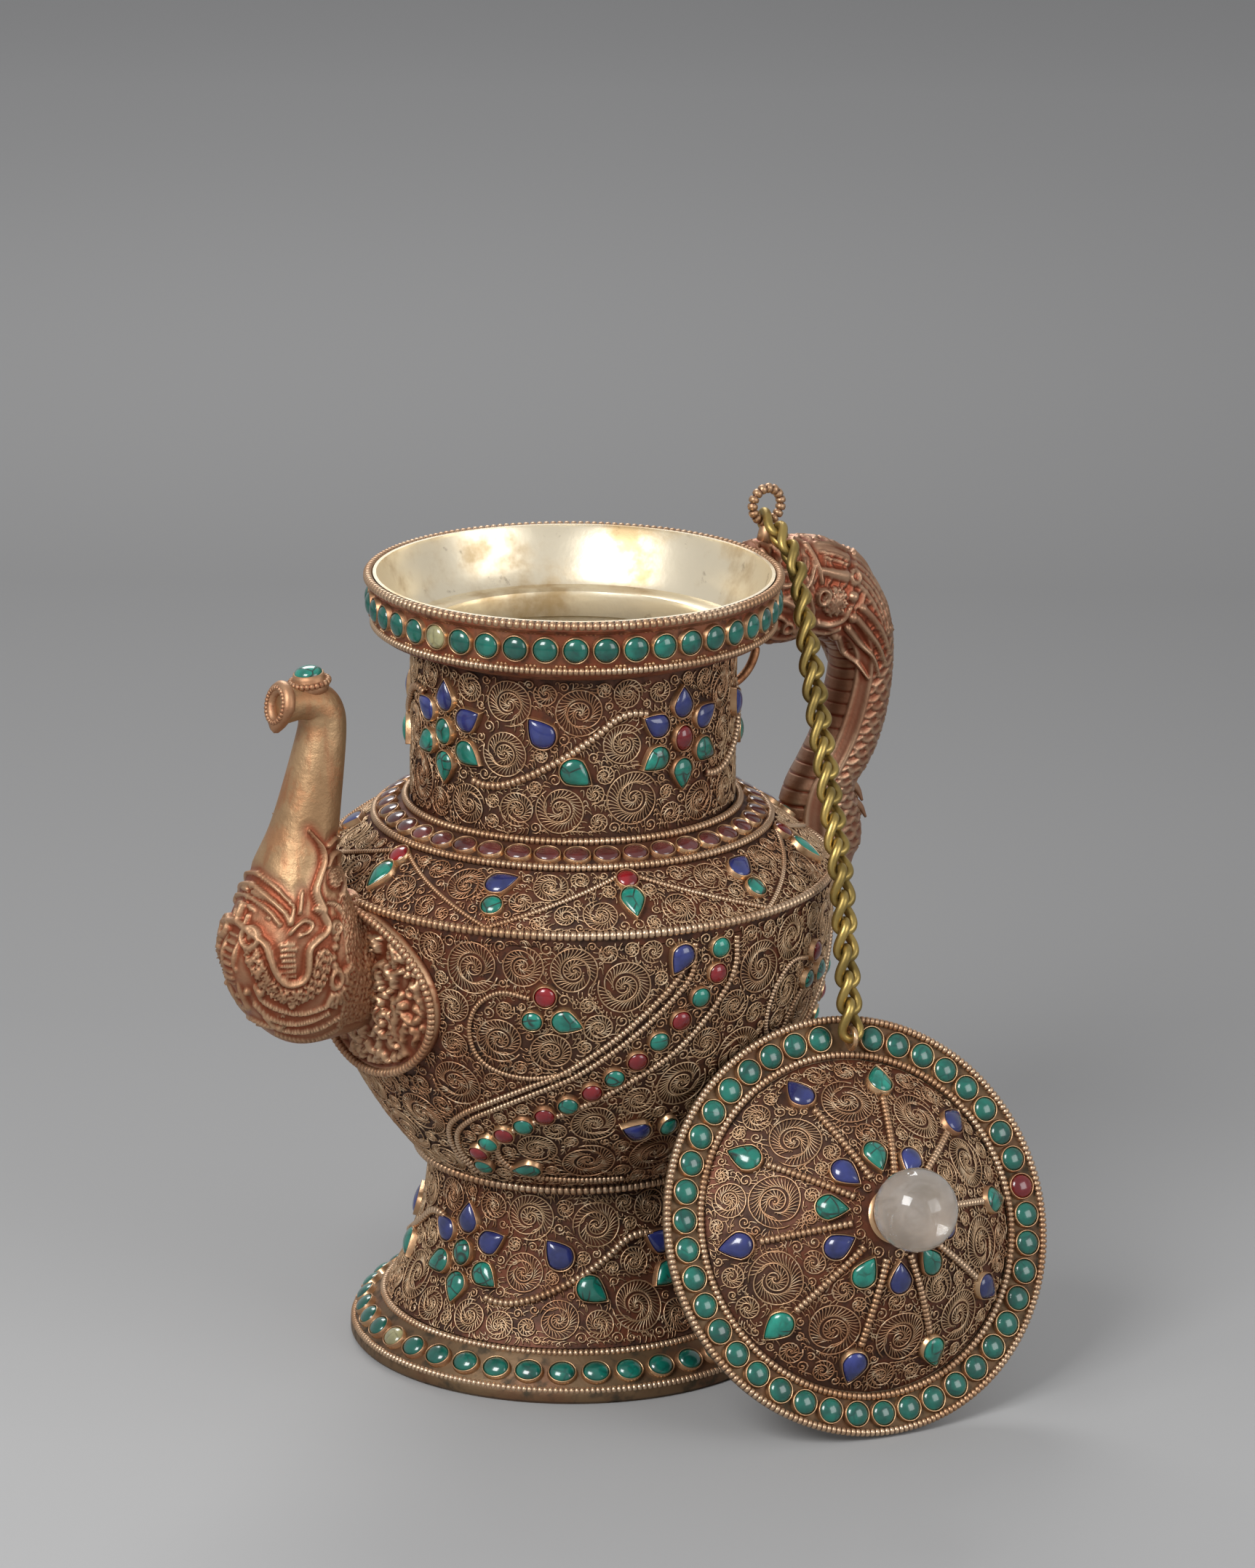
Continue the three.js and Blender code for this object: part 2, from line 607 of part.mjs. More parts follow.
function buildShoulder() {
  const low = SHOULDER_HEIGHT - EDGE_BEAD_WIDTH / 2 + SEAT_GAP;
  const beadTop = SHOULDER_HEIGHT + EDGE_BEAD_WIDTH / 2;
  const top = SHOULDER_HEIGHT + SHOULDER_RISE;
  const middle = THREE.MathUtils.lerp(beadTop, top, SHOULDER_CROWN_SHARE);
  const cone = revolve([
    [BELLY_RADIUS - SHEET, low], [BELLY_RADIUS, low], [BELLY_RADIUS + EDGE_BEAD, low + EDGE_BEAD],
    [BELLY_RADIUS + EDGE_BEAD, beadTop - EDGE_BEAD], [shoulderRadius(beadTop), beadTop],
    [shoulderRadius(middle), middle], [SHOULDER_INNER_RADIUS, top], [SHOULDER_INNER_RADIUS - SHEET, top],
    [SHOULDER_INNER_RADIUS - SHEET, top - SHEET], [shoulderRadius(middle) - SHEET, middle - SHEET],
    [BELLY_RADIUS - SHEET, beadTop - SHEET],
  ]);
  addPiece('shoulder', joined(cone, ...cornerSettings()), agedGilt);
}

// A pair of stones in each corner of the zigzag, high and low in turn, but none under the handle
const SHOULDER_CROWN_SHARE = 0.5;

function cornerSettings() {
  const pair = ovalOutline(PAIR_WIDTH, PAIR_LENGTH * CORNER_LENGTH_SHARE, STONE_SIDES + 1);
  const settings = [];
  for (let i = 0; i < 2 * CORNERS; i++) {
    const facing = (CORNER_FACING_SHARE + i / (2 * CORNERS)) * FULL_TURN;
    const height = SHOULDER_HEIGHT + CORNER_LIFT + (i % 2 ? -CORNER_SWING : CORNER_SWING);
    if (i !== HANDLE_CORNER) settings.push(setting(onWall(shoulderRadius, facing, height), pair));
  }
  return settings;
}

// Ring of oval garnets between the shoulder and the neck, with a bead on each side of them
function buildGarnetRing() {
  const low = SHOULDER_HEIGHT + SHOULDER_RISE + SEAT_GAP;
  const inner = clearOf(NECK_RADIUS, GARNETS);
  const beadTop = low + GARNET_BEAD;
  const high = low + GARNET_RING_RISE;
  const beadOut = SHOULDER_INNER_RADIUS - GARNET_BEAD;
  const beadIn = inner + GARNET_BEAD;
  const band = revolve([
    [SHOULDER_INNER_RADIUS, low], [SHOULDER_INNER_RADIUS, beadTop], [beadOut, beadTop],
    [beadIn, high], [beadIn, high + GARNET_BEAD],
    [inner, high + GARNET_BEAD], [inner, high - SHEET], [beadOut - SHEET, low],
  ], GARNETS);
  const stones = stoneRing({
    count: GARNETS, radius: (beadOut + beadIn) / 2, height: (beadTop + high) / 2,
    tilt: Math.atan2(beadOut - beadIn, GARNET_RING_RISE - GARNET_BEAD),
    width: GARNET_WIDTH, length: GARNET_LENGTH, rise: SHEET,
  });
  addPiece('garnet_ring', joined(band, ...stones), garnet);
}

function buildNeck() {
  const low = SHOULDER_HEIGHT + SHOULDER_RISE + SEAT_GAP;
  const inner = NECK_RADIUS - SHEET;
  const wall = revolve([[inner, low], [NECK_RADIUS, low], [NECK_RADIUS, NECK_TOP], [inner, NECK_TOP]]);
  const flowers = flowerSettings(() => NECK_RADIUS, SHOULDER_TOP + NECK_FLOWER_HEIGHT);
  addPiece('neck', joined(wall, ...flowers), agedGilt);
}

// Collar: the stone band under the rim, seated round the neck's top, with the dish nested in it
function buildCollar() {
  const inner = clearOf(NECK_RADIUS, COLLAR_STONES);
  const base = COLLAR_BASE;
  const bead = COLLAR_RADIUS + COLLAR_BEAD;
  const bandLow = base + COLLAR_BEAD_WIDTH + COLLAR_BEAD;
  const bandHigh = bandLow + COLLAR_BAND;
  const seat = DISH_SHEET + SEAT_GAP + SHEET / 10;
  const ledge = DISH_LEDGE_HEIGHT - DISH_SHEET - 2 * SEAT_GAP;
  const band = revolve([
    [inner, NECK_TOP - SHEET - SEAT_GAP], [COLLAR_RADIUS, base], [bead, base + COLLAR_BEAD],
    [bead, base + COLLAR_BEAD_WIDTH], [COLLAR_RADIUS, bandLow], [COLLAR_RADIUS, bandHigh],
    [RIM_BEAD_RADIUS, bandHigh + COLLAR_BEAD], [RIM_BEAD_RADIUS, RIM_HEIGHT - COLLAR_BEAD],
    [DISH_MOUTH_RADIUS + seat, RIM_HEIGHT - SEAT_GAP], [DISH_LEDGE_RADIUS + seat / 2, ledge], [inner, ledge],
  ], COLLAR_STONES);
  const stones = stoneRing({
    count: COLLAR_STONES, radius: COLLAR_RADIUS, height: (bandLow + bandHigh) / 2,
    tilt: 0, width: COLLAR_STONE_WIDTH, length: COLLAR_BAND - COLLAR_BEAD, rise: STONE_RISE,
  });
  addPiece('rim_collar', joined(band, ...stones), turquoise);
}

function buildDish() {
  const spigot = NECK_RADIUS - SHEET - SEAT_GAP;
  const under = DISH_LEDGE_HEIGHT - DISH_SHEET;
  const foot = DISH_LEDGE_HEIGHT - DISH_SHEET - DISH_SPIGOT;
  addPiece('rim_dish', revolve([
    [DISH_MOUTH_RADIUS, RIM_HEIGHT], [DISH_LEDGE_RADIUS, DISH_LEDGE_HEIGHT],
    [spigot - DISH_SHEET, DISH_LEDGE_HEIGHT], [spigot - DISH_SHEET, foot], [spigot, foot], [spigot, under],
    [DISH_LEDGE_RADIUS + DISH_SHEET / 4, under], [DISH_MOUTH_RADIUS + DISH_SHEET, RIM_HEIGHT],
  ]), paleGilt);
}

const BOSS_SHARES = [0.35, 0.7];

// Boss: an oval plate bent round the belly, with a raised border and the way through to the spout.
// A clearance swells it on every side, for cutting the spout that stands on it.
function bossPlate(clearance) {
  const sectors = BOSS_SIDES;
  const hole = (SPOUT_BORE_RADIUS + SEAT_GAP - clearance) / BOSS_HALF_HEIGHT;
  const border = 1 - (2 * BOSS_BORDER + clearance) / BOSS_HALF_HEIGHT;
  const edge = 1 + clearance / BOSS_HALF_HEIGHT;
  const under = BOSS_GAP - clearance;
  const face = BOSS_GAP + BOSS_THICKNESS + clearance;
  const raised = face + BOSS_BORDER;
  const middles = BOSS_SHARES.map((share) => THREE.MathUtils.lerp(border, hole, share));
  const section = [
    [hole, under], [hole, face], [middles[0], face], [border, face], [border, raised], [edge, raised],
    [edge, under], [border, under], ...middles.map((share) => [share, under]),
  ];
  const rings = section.map(([share, lift]) => Array.from({ length: sectors }, (_, i) => {
    const turn = (i / sectors) * FULL_TURN;
    const height = BOSS_HEIGHT + share * BOSS_HALF_HEIGHT * Math.sin(turn);
    const radius = bodyRadius(height) + lift;
    const angle = Math.PI + (share * BOSS_HALF_ARC * Math.cos(turn)) / radius;
    return new THREE.Vector3(radius * Math.cos(angle), radius * Math.sin(angle), height);
  }));
  return skin(rings, { loop: true });
}

// Spout: a hollow makara head with its trunk raised, laid out by the back and front edges of its outline.
// Each row is [back reach, back rise, front reach, front rise, half width] as shares of the spout's sizes.
const SPOUT_SHARES = [
  [0, 0.388, 0, 0.033, 0.7],
  [0.24, 0.415, 0.3, 0.005, 0.85],
  [0.3, 0.463, 0.58, 0.005, 1],
  [0.32, 0.491, 0.78, 0.061, 1],
  [0.324, 0.509, 0.92, 0.154, 0.95],
  [0.32, 0.528, 1, 0.276, 0.86],
  [0.3, 0.593, 0.82, 0.481, 0.65],
  [0.278, 0.668, 0.676, 0.621, 0.53],
  [0.234, 0.855, 0.524, 0.846, 0.395],
  [0.252, 0.935, 0.508, 0.896, 0.368],
  [0.332, 0.984, 0.524, 0.904, 0.35],
  [0.46, 0.999, 0.556, 0.904, 0.324],
  [0.608, 0.997, 0.632, 0.898, 0.303],
];

function spoutPoint(reachShare, riseShare) {
  return new THREE.Vector3(-SPOUT_ROOT - reachShare * SPOUT_REACH, 0, SPOUT_BASE + riseShare * SPOUT_RISE);
}

function spoutEdges() {
  return SPOUT_SHARES.map(([backReach, backRise, frontReach, frontRise, widthShare]) => ({
    back: spoutPoint(backReach, backRise),
    front: spoutPoint(frontReach, frontRise),
    halfWidth: widthShare * SPOUT_HALF_WIDTH,
  }));
}

function inset({ back, front, halfWidth }, wall) {
  const inward = front.clone().sub(back).normalize().multiplyScalar(wall);
  return { back: back.clone().add(inward), front: front.clone().sub(inward), halfWidth: halfWidth - wall };
}

// As the handle's lumps: ear flap, horn and curled jaw
const SPOUT_LUMP_SHARES = [
  [0.4, 0.5, 0.84, 15, 8, 80],
  [0.53, 0.53, 0.72, 17, 5, 100],
  [0.84, 0.27, 0.82, 18, 7, 60],
];

// Rings with one more past each end, so that a bore through them comes out on both sides
function extended(rings) {
  const beyond = (ring, next) => {
    const step = centreOf(ring).sub(centreOf(next));
    return ring.map((point) => point.clone().add(step));
  };
  return [beyond(rings[0], rings[1]), ...rings, beyond(rings.at(-1), rings.at(-2))];
}

function buildSpout() {
  const edges = spoutEdges();
  const ring = (edge) => ovalRing(edge.back, edge.front, edge.halfWidth, SPOUT_SIDES);
  const bore = extended(edges.map((edge) => ring(inset(edge, SPOUT_WALL))));
  addPiece('spout_boss', bossPlate(0), castGilt);
  const head = joined(skin(edges.map(ring)), ...lumps(SPOUT_LUMP_SHARES, spoutPoint, SPOUT_HALF_WIDTH));
  addPiece('spout', cut(head, skin(bore), bodyCutter(SEAT_GAP), bossPlate(BOSS_GAP)), castGilt);
  buildLip(edges.at(-1));
  buildCap(edges.at(-2));
}

// The mouth's disc, square to the trunk's end, with the pouring bore through it
function buildLip({ back, front }) {
  const middle = back.clone().lerp(front, 0.5);
  const across = back.clone().sub(front).normalize();
  const out = new THREE.Vector3().crossVectors(AXIS_Y, across).normalize();
  if (out.x > 0) out.negate();
  const disc = revolve([
    [LIP_BORE_RADIUS, 0], [LIP_RADIUS - LIP_THICKNESS / 4, 0], [LIP_RADIUS, LIP_THICKNESS / 3],
    [LIP_RADIUS, (2 * LIP_THICKNESS) / 3], [LIP_RADIUS - LIP_THICKNESS / 2, LIP_THICKNESS],
    [LIP_BORE_RADIUS, LIP_THICKNESS],
  ], SPOUT_SIDES);
  const place = middle.addScaledVector(out, SEAT_GAP);
  const side = new THREE.Vector3().crossVectors(across, out);
  disc.applyMatrix4(new THREE.Matrix4().makeBasis(side, across, out).setPosition(place));
  addPiece('spout_lip', closedMesh(disc), castGilt);
}

// The stone on top of the trunk's bend, in its round setting
function buildCap({ back }) {
  const mount = revolve([
    [0, 0], [CAP_RADIUS - CAP_THICKNESS / 2, 0], [CAP_RADIUS, CAP_THICKNESS / 2],
    [CAP_RADIUS - CAP_THICKNESS / 2, CAP_THICKNESS], [CAP_STONE_RADIUS, CAP_THICKNESS],
    [CAP_STONE_RADIUS * STONE_TOP_SHARE, CAP_THICKNESS + CAP_STONE_RISE],
    [0, CAP_THICKNESS + CAP_STONE_RISE],
  ], CAP_SIDES);
  mount.translate(back.x, 0, back.z + SEAT_GAP);
  addPiece('spout_cap', mount, turquoise);
}

// Handle: a dragon rising from the belly's edge and biting the collar.
// Each row is [inner reach, inner rise, outer reach, outer rise, half width] as shares of the handle's sizes.
const HANDLE_SHARES = [
  [0, 0.028, 0.676, 0, 0.62],
  [0, 0.113, 0.743, 0.085, 0.75],
  [0, 0.197, 0.716, 0.178, 0.8],
  [0.081, 0.272, 0.654, 0.249, 0.83],
  [0.203, 0.338, 0.77, 0.305, 0.85],
  [0.324, 0.408, 0.886, 0.38, 0.85],
  [0.432, 0.498, 0.97, 0.488, 0.87],
  [0.503, 0.587, 1, 0.62, 0.9],
  [0.473, 0.648, 0.962, 0.732, 0.94],
  [0.365, 0.681, 0.824, 0.831, 0.98],
  [0.23, 0.695, 0.635, 0.911, 1],
  [0.095, 0.7, 0.392, 0.967, 0.98],
  [-0.041, 0.695, 0.149, 0.986, 0.94],
  [-0.189, 0.7, -0.095, 0.991, 0.88],
  [-0.378, 0.72, -0.378, 0.991, 0.76],
];

// The handle's foot keeps to the belly and its head to the collar
function handlePoint(reachShare, riseShare) {
  const inner = THREE.MathUtils.lerp(HANDLE_ROOT, HEAD_PLACE, riseShare);
  return new THREE.Vector3(inner + reachShare * HANDLE_REACH, 0, HANDLE_BASE + riseShare * HANDLE_RISE);
}

// Lumps on both sides of a cast piece: its cheeks, brows, ears, horns and locks of mane
function lumps(shares, pointAt, halfWidth) {
  return shares.flatMap(([reachShare, riseShare, sideShare, length, width, slope]) => [1, -1].map((side) => (
    new THREE.SphereGeometry(1, LUMP_SIDES, LUMP_RINGS)
      .scale(length / 2, LUMP_DEPTH, width / 2)
      .rotateY(THREE.MathUtils.degToRad(-slope))
      .translate(0, side * sideShare * halfWidth, 0)
      .translate(...pointAt(reachShare, riseShare).toArray())
  )));
}

// Each row is [reach, rise, half width] as shares, then the lump's length, width and slope in degrees:
// cheek, brow, horn, lock of mane and the fin at the handle's foot
const HANDLE_LUMP_SHARES = [
  [0.36, 0.81, 0.86, 13, 11, 0],
  [0.12, 0.94, 0.6, 13, 7, -10],
  [0.4, 0.93, 0.66, 15, 6, -20],
  [0.68, 0.72, 0.78, 19, 6, -75],
  [0.54, 0.19, 0.66, 16, 8, 70],
];

function buildHandle() {
  const rings = HANDLE_SHARES.map(([innerReach, innerRise, outerReach, outerRise, widthShare]) => {
    const [inner, outer] = [handlePoint(innerReach, innerRise), handlePoint(outerReach, outerRise)];
    return ovalRing(inner, outer, widthShare * HANDLE_HALF_WIDTH, HANDLE_SIDES);
  });
  const reach = RIM_HEIGHT - NECK_TOP + 2 * CUT_OVERRUN;
  const collarRadius = clearOf(COLLAR_RADIUS + STONE_RISE, ROUND_SIDES);
  const collarSpace = new THREE.CylinderGeometry(collarRadius, collarRadius, reach, ROUND_SIDES)
    .rotateX(Math.PI / 2)
    .translate(0, 0, (RIM_HEIGHT + NECK_TOP) / 2);
  const dragon = joined(skin(rings), ...lumps(HANDLE_LUMP_SHARES, handlePoint, HANDLE_HALF_WIDTH));
  addPiece('handle', cut(dragon, collarSpace, bodyCutter(SEAT_GAP)), castGilt);
}

// Twisted wire ring on the dragon's head, standing on a short post, for the first link of the chain
function buildHandleRing() {
  const plane = hangingAxes(chainJoints())[0];
  const centre = new THREE.Vector3(RING_PLACE, 0, RING_HEIGHT);
  const rings = [];
  const steps = RING_TWISTS * 2;
  for (let i = 0; i < steps; i++) {
    const turn = (i / steps) * FULL_TURN;
    const out = plane.clone().multiplyScalar(Math.cos(turn)).addScaledVector(UP, Math.sin(turn));
    const depth = new THREE.Vector3().crossVectors(plane, UP);
    const wire = RING_WIRE * (i % 2 ? RING_WAIST_SHARE : 1);
    rings.push(Array.from({ length: RING_SIDES }, (_, j) => {
      const around = (j / RING_SIDES) * FULL_TURN;
      return centre.clone().addScaledVector(out, RING_RADIUS + wire * Math.cos(around))
        .addScaledVector(depth, wire * Math.sin(around));
    }));
  }
  const postTop = centre.clone().addScaledVector(plane, RING_RADIUS * Math.cos(RING_POST_ANGLE))
    .addScaledVector(UP, RING_RADIUS * Math.sin(RING_POST_ANGLE));
  const postLength = postTop.z - handlePoint(0, HEAD_CREST_SHARE).z - SEAT_GAP;
  const post = new THREE.CylinderGeometry(RING_POST, RING_POST, postLength, RING_SIDES)
    .rotateX(Math.PI / 2)
    .translate(postTop.x, postTop.y, postTop.z - postLength / 2);
  addPiece('handle_ring', joined(skin(rings, { loop: true }), post), castGilt);
}

// Curved stay from the dragon's lower jaw to the neck
function buildStay() {
  const jaw = handlePoint(0, JAW_SHARE);
  const start = new THREE.Vector3(NECK_RADIUS + SEAT_GAP, 0, jaw.z - STAY_RISE);
  const end = new THREE.Vector3(jaw.x - STAY_INSET, 0, jaw.z - STAY_CLEARANCE);
  const bend = new THREE.Vector3(end.x - STAY_RADIUS, 0, start.z);
  const route = new THREE.QuadraticBezierCurve3(start, bend, end);
  const wire = new THREE.EllipseCurve(0, 0, STAY_RADIUS, STAY_RADIUS);
  const section = new THREE.Shape(wire.getPoints(LUMP_SIDES));
  const stay = new THREE.ExtrudeGeometry(section, { extrudePath: route, steps: LUMP_SIDES });
  addPiece('handle_stay', closedMesh(stay), castGilt);
}

// The chain's first links lead from the ring over the dragon's head and down beside it. Its two runs then
// hang in one upright plane to the lid's eyelet, and bend once where the chain rides over the shoulder.
function lidBasis() {
  const across = new THREE.Vector3().crossVectors(UP, LID_FACING).normalize();
  const upward = new THREE.Vector3().crossVectors(LID_FACING, across);
  return { across, upward, normal: LID_FACING };
}

function lidCentre() {
  const rise = (LID_RADIUS + LID_BEAD) * lidBasis().upward.z - LID_BEAD_HEIGHT * LID_FACING.z + SEAT_GAP;
  return LID_BEARING.clone().multiplyScalar(LID_STANDOFF).addScaledVector(UP, rise);
}

function eyeletHeight() {
  return LID_PLATE + 2 * SEAT_GAP + EYELET_RADIUS + EYELET_WIRE;
}

function eyeletCentre() {
  const { across, upward, normal } = lidBasis();
  return lidCentre()
    .addScaledVector(across, EYELET_PLACE * Math.sin(EYELET_ANGLE))
    .addScaledVector(upward, EYELET_PLACE * Math.cos(EYELET_ANGLE))
    .addScaledVector(normal, eyeletHeight());
}

// The lead's links turn by equal steps about one axis
function leadAxis() {
  return new THREE.Vector3().crossVectors(LEAD_START, LEAD_END).normalize();
}

function leadDirection(i) {
  return LEAD_START.clone().applyAxisAngle(leadAxis(), (LEAD_START.angleTo(LEAD_END) * i) / LEAD_LINKS);
}

function chainTop() {
  return new THREE.Vector3(RING_PLACE, 0, RING_HEIGHT - RING_RADIUS);
}

// Distance from link to link: the runs below the lead are a little longer than the straight line they span
function linkPitch() {
  const span = eyeletCentre().sub(chainTop());
  const lead = new THREE.Vector3();
  for (let i = 0; i < LEAD_LINKS; i++) lead.add(leadDirection(i));
  let pitch = span.length() / LINK_COUNT;
  for (let i = 0; i < LINK_COUNT; i++) {
    pitch = (CHAIN_SLACK * span.clone().addScaledVector(lead, -pitch).length()) / (LINK_COUNT - LEAD_LINKS);
  }
  return pitch;
}

// Points where each link hangs on the one above, and last the point where the eyelet hangs
function chainJoints() {
  const joints = [chainTop()];
  const pitch = linkPitch();
  for (let i = 0; i < LEAD_LINKS; i++) {
    joints.push(joints.at(-1).clone().addScaledVector(leadDirection(i), pitch));
  }
  const top = joints.at(-1);
  const end = eyeletCentre();
  const lowerRunLinks = LINK_COUNT - LEAD_LINKS - UPPER_RUN_LINKS;
  const bend = chainBend(top, end, UPPER_RUN_LINKS * pitch, lowerRunLinks * pitch);
  for (let i = 1; i <= UPPER_RUN_LINKS; i++) joints.push(top.clone().lerp(bend, i / UPPER_RUN_LINKS));
  for (let i = 1; i <= lowerRunLinks; i++) joints.push(bend.clone().lerp(end, i / lowerRunLinks));
  return joints;
}

// Directions along which the links hang on one another. The ring's lies along the handle and the lead's along
// its own axis; the next links turn by equal steps until they are square to the runs' upright plane.
function hangingAxes(joints) {
  const heading = joints.at(-1).clone().sub(joints[LEAD_LINKS]).setZ(0).normalize();
  const runs = new THREE.Vector3().crossVectors(UP, heading);
  const lead = leadAxis();
  if (lead.dot(runs) < 0) lead.negate();
  return joints.map((_, i) => {
    if (i === 0) return new THREE.Vector3(1, 0, 0);
    return lead.clone().lerp(runs, THREE.MathUtils.clamp((i - LEAD_LINKS) / TURNING_LINKS, 0, 1)).normalize();
  });
}

// Where two straight runs of known length meet, on the side away from the ewer
function chainBend(top, end, upperLength, lowerLength) {
  const span = end.clone().sub(top);
  const distance = span.length();
  const along = (distance ** 2 + upperLength ** 2 - lowerLength ** 2) / (2 * distance);
  const off = Math.sqrt(Math.max(0, upperLength ** 2 - along ** 2));
  const level = span.clone().setZ(0).normalize();
  const side = new THREE.Vector3().crossVectors(UP, level);
  const outward = new THREE.Vector3().crossVectors(span, side).normalize();
  if (outward.z < 0) outward.negate();
  return top.clone().addScaledVector(span, along / distance).addScaledVector(outward, off);
}

// One link's centre line along X: a long loop whose end at -X is turned about X by the twist
function linkLine(halfLength, turned) {
  const straight = 2 * (halfLength - LINK_HALF_WIDTH);
  const arc = Math.PI * LINK_HALF_WIDTH;
  const total = 2 * (straight + arc);
  return Array.from({ length: LINK_STEPS }, (_, i) => {
    const { x, y } = loopPoint(((i + 0.5) / LINK_STEPS) * total, straight, arc);
    const share = (halfLength - x) / (2 * halfLength);
    const twist = turned * share * share * (3 - 2 * share);
    return new THREE.Vector3(x, y * Math.cos(twist), y * Math.sin(twist));
  });
}

function loopPoint(gone, straight, arc) {
  const half = straight / 2;
  const side = gone < arc + straight ? 1 : -1;
  const rest = gone < arc + straight ? gone : gone - arc - straight;
  if (rest < arc) {
    const turn = rest / LINK_HALF_WIDTH - Math.PI / 2;
    const [along, across] = [LINK_HALF_WIDTH * Math.cos(turn), LINK_HALF_WIDTH * Math.sin(turn)];
    return { x: side * (half + along), y: side * across };
  }
  return { x: side * (half - (rest - arc)), y: side * LINK_HALF_WIDTH };
}

function wireLoop(line, wire, sides) {
  const count = line.length;
  const middle = centreOf(line);
  const rings = line.map((point, i) => {
    const along = line[(i + 1) % count].clone().sub(line[(i + count - 1) % count]).normalize();
    const out = point.clone().sub(middle);
    out.addScaledVector(along, -out.dot(along)).normalize();
    const side = new THREE.Vector3().crossVectors(along, out);
    return Array.from({ length: sides }, (_, j) => {
      const turn = (j / sides) * FULL_TURN;
      const [outward, sideways] = [wire * Math.cos(turn), wire * Math.sin(turn)];
      return point.clone().addScaledVector(out, outward).addScaledVector(side, sideways);
    });
  });
  return skin(rings, { loop: true });
}

function squareTo(along, direction) {
  return direction.clone().addScaledVector(along, -direction.dot(along)).normalize();
}

// Each link's lower end lies along its own hanging axis, and its upper end is square to the link above
function buildChain() {
  const joints = chainJoints();
  const axes = hangingAxes(joints);
  const halfLength = (linkPitch() + 2 * LINK_WIRE + LINK_CLEARANCE) / 2;
  for (let i = 0; i < LINK_COUNT; i++) {
    const along = joints[i + 1].clone().sub(joints[i]).normalize();
    const width = squareTo(along, axes[i + 1]);
    const depth = new THREE.Vector3().crossVectors(along, width);
    const above = squareTo(along, axes[i]);
    const twist = Math.atan2(above.dot(depth), above.dot(width)) - Math.PI / 2;
    const centre = joints[i + 1].clone().addScaledVector(along, -halfLength);
    const matrix = new THREE.Matrix4().makeBasis(along, width, depth).setPosition(centre);
    const link = wireLoop(linkLine(halfLength, twist), LINK_WIRE, LINK_SIDES).applyMatrix4(matrix);
    addPiece(`chain_link_${String(i + 1).padStart(2, '0')}`, link, brassWire);
  }
}

// Lid: its own group, with its plate's underside in the XY plane and +Z out of the dome
function domeHeight(radius) {
  return LID_PLATE + SEAT_GAP + LID_DOME_RISE * (1 - (radius / LID_DOME_RADIUS) ** LID_DOME_POWER);
}

function buildLid() {
  const lid = new THREE.Group();
  const { across, upward, normal } = lidBasis();
  lid.applyMatrix4(new THREE.Matrix4().makeBasis(across, upward, normal).setPosition(lidCentre()));
  ewer.add(lid);
  buildLidFlange(lid);
  buildLidDome(lid);
  buildFinial(lid);
  const eyelet = new THREE.TorusGeometry(EYELET_RADIUS, EYELET_WIRE, RING_SIDES, RING_TWISTS)
    .rotateY(Math.PI / 2)
    .rotateZ(-EYELET_ANGLE)
    .translate(EYELET_PLACE * Math.sin(EYELET_ANGLE), EYELET_PLACE * Math.cos(EYELET_ANGLE), eyeletHeight());
  addPiece('lid_eyelet', closedMesh(eyelet), castGilt, lid);
}

function buildLidFlange(lid) {
  const edge = LID_RADIUS + LID_BEAD;
  const innerBead = clearOf(LID_DOME_RADIUS, LID_STONES);
  const plate = revolve([
    [LID_SLEEVE_RADIUS - SHEET - LID_PLATE, 0], [LID_RADIUS, 0], [edge, LID_BEAD_HEIGHT],
    [edge, LID_PLATE + LID_BEAD_HEIGHT / 2], [LID_RADIUS, LID_PLATE + LID_BEAD_HEIGHT],
    [LID_RADIUS - LID_BEAD, LID_PLATE], [innerBead + LID_PLATE, LID_PLATE],
    [innerBead, LID_PLATE + SHEET], [innerBead, LID_PLATE],
    [LID_SLEEVE_RADIUS - SHEET - LID_PLATE, LID_PLATE],
  ], LID_STONES);
  const stones = stoneRing({
    count: LID_STONES, radius: (LID_RADIUS + innerBead + SHEET) / 2, height: LID_PLATE, tilt: Math.PI / 2,
    width: LID_STONE_WIDTH, length: LID_STONE_WIDTH, rise: STONE_RISE, skip: [eyeletStone()],
  });
  addPiece('lid_flange', joined(plate, ...stones), turquoise, lid);
  const sleeve = LID_SLEEVE_RADIUS - SHEET;
  addPiece('lid_sleeve', revolve([
    [sleeve, -LID_SLEEVE_DEPTH], [LID_SLEEVE_RADIUS, -LID_SLEEVE_DEPTH],
    [LID_SLEEVE_RADIUS, -SEAT_GAP], [sleeve, -SEAT_GAP],
  ]), paleGilt, lid);
}

// The place in the flange's ring of stones that the eyelet takes
function eyeletStone() {
  const turn = Math.PI / 2 - EYELET_ANGLE - FIRST_CORNER;
  return Math.floor((turn / FULL_TURN) * LID_STONES);
}

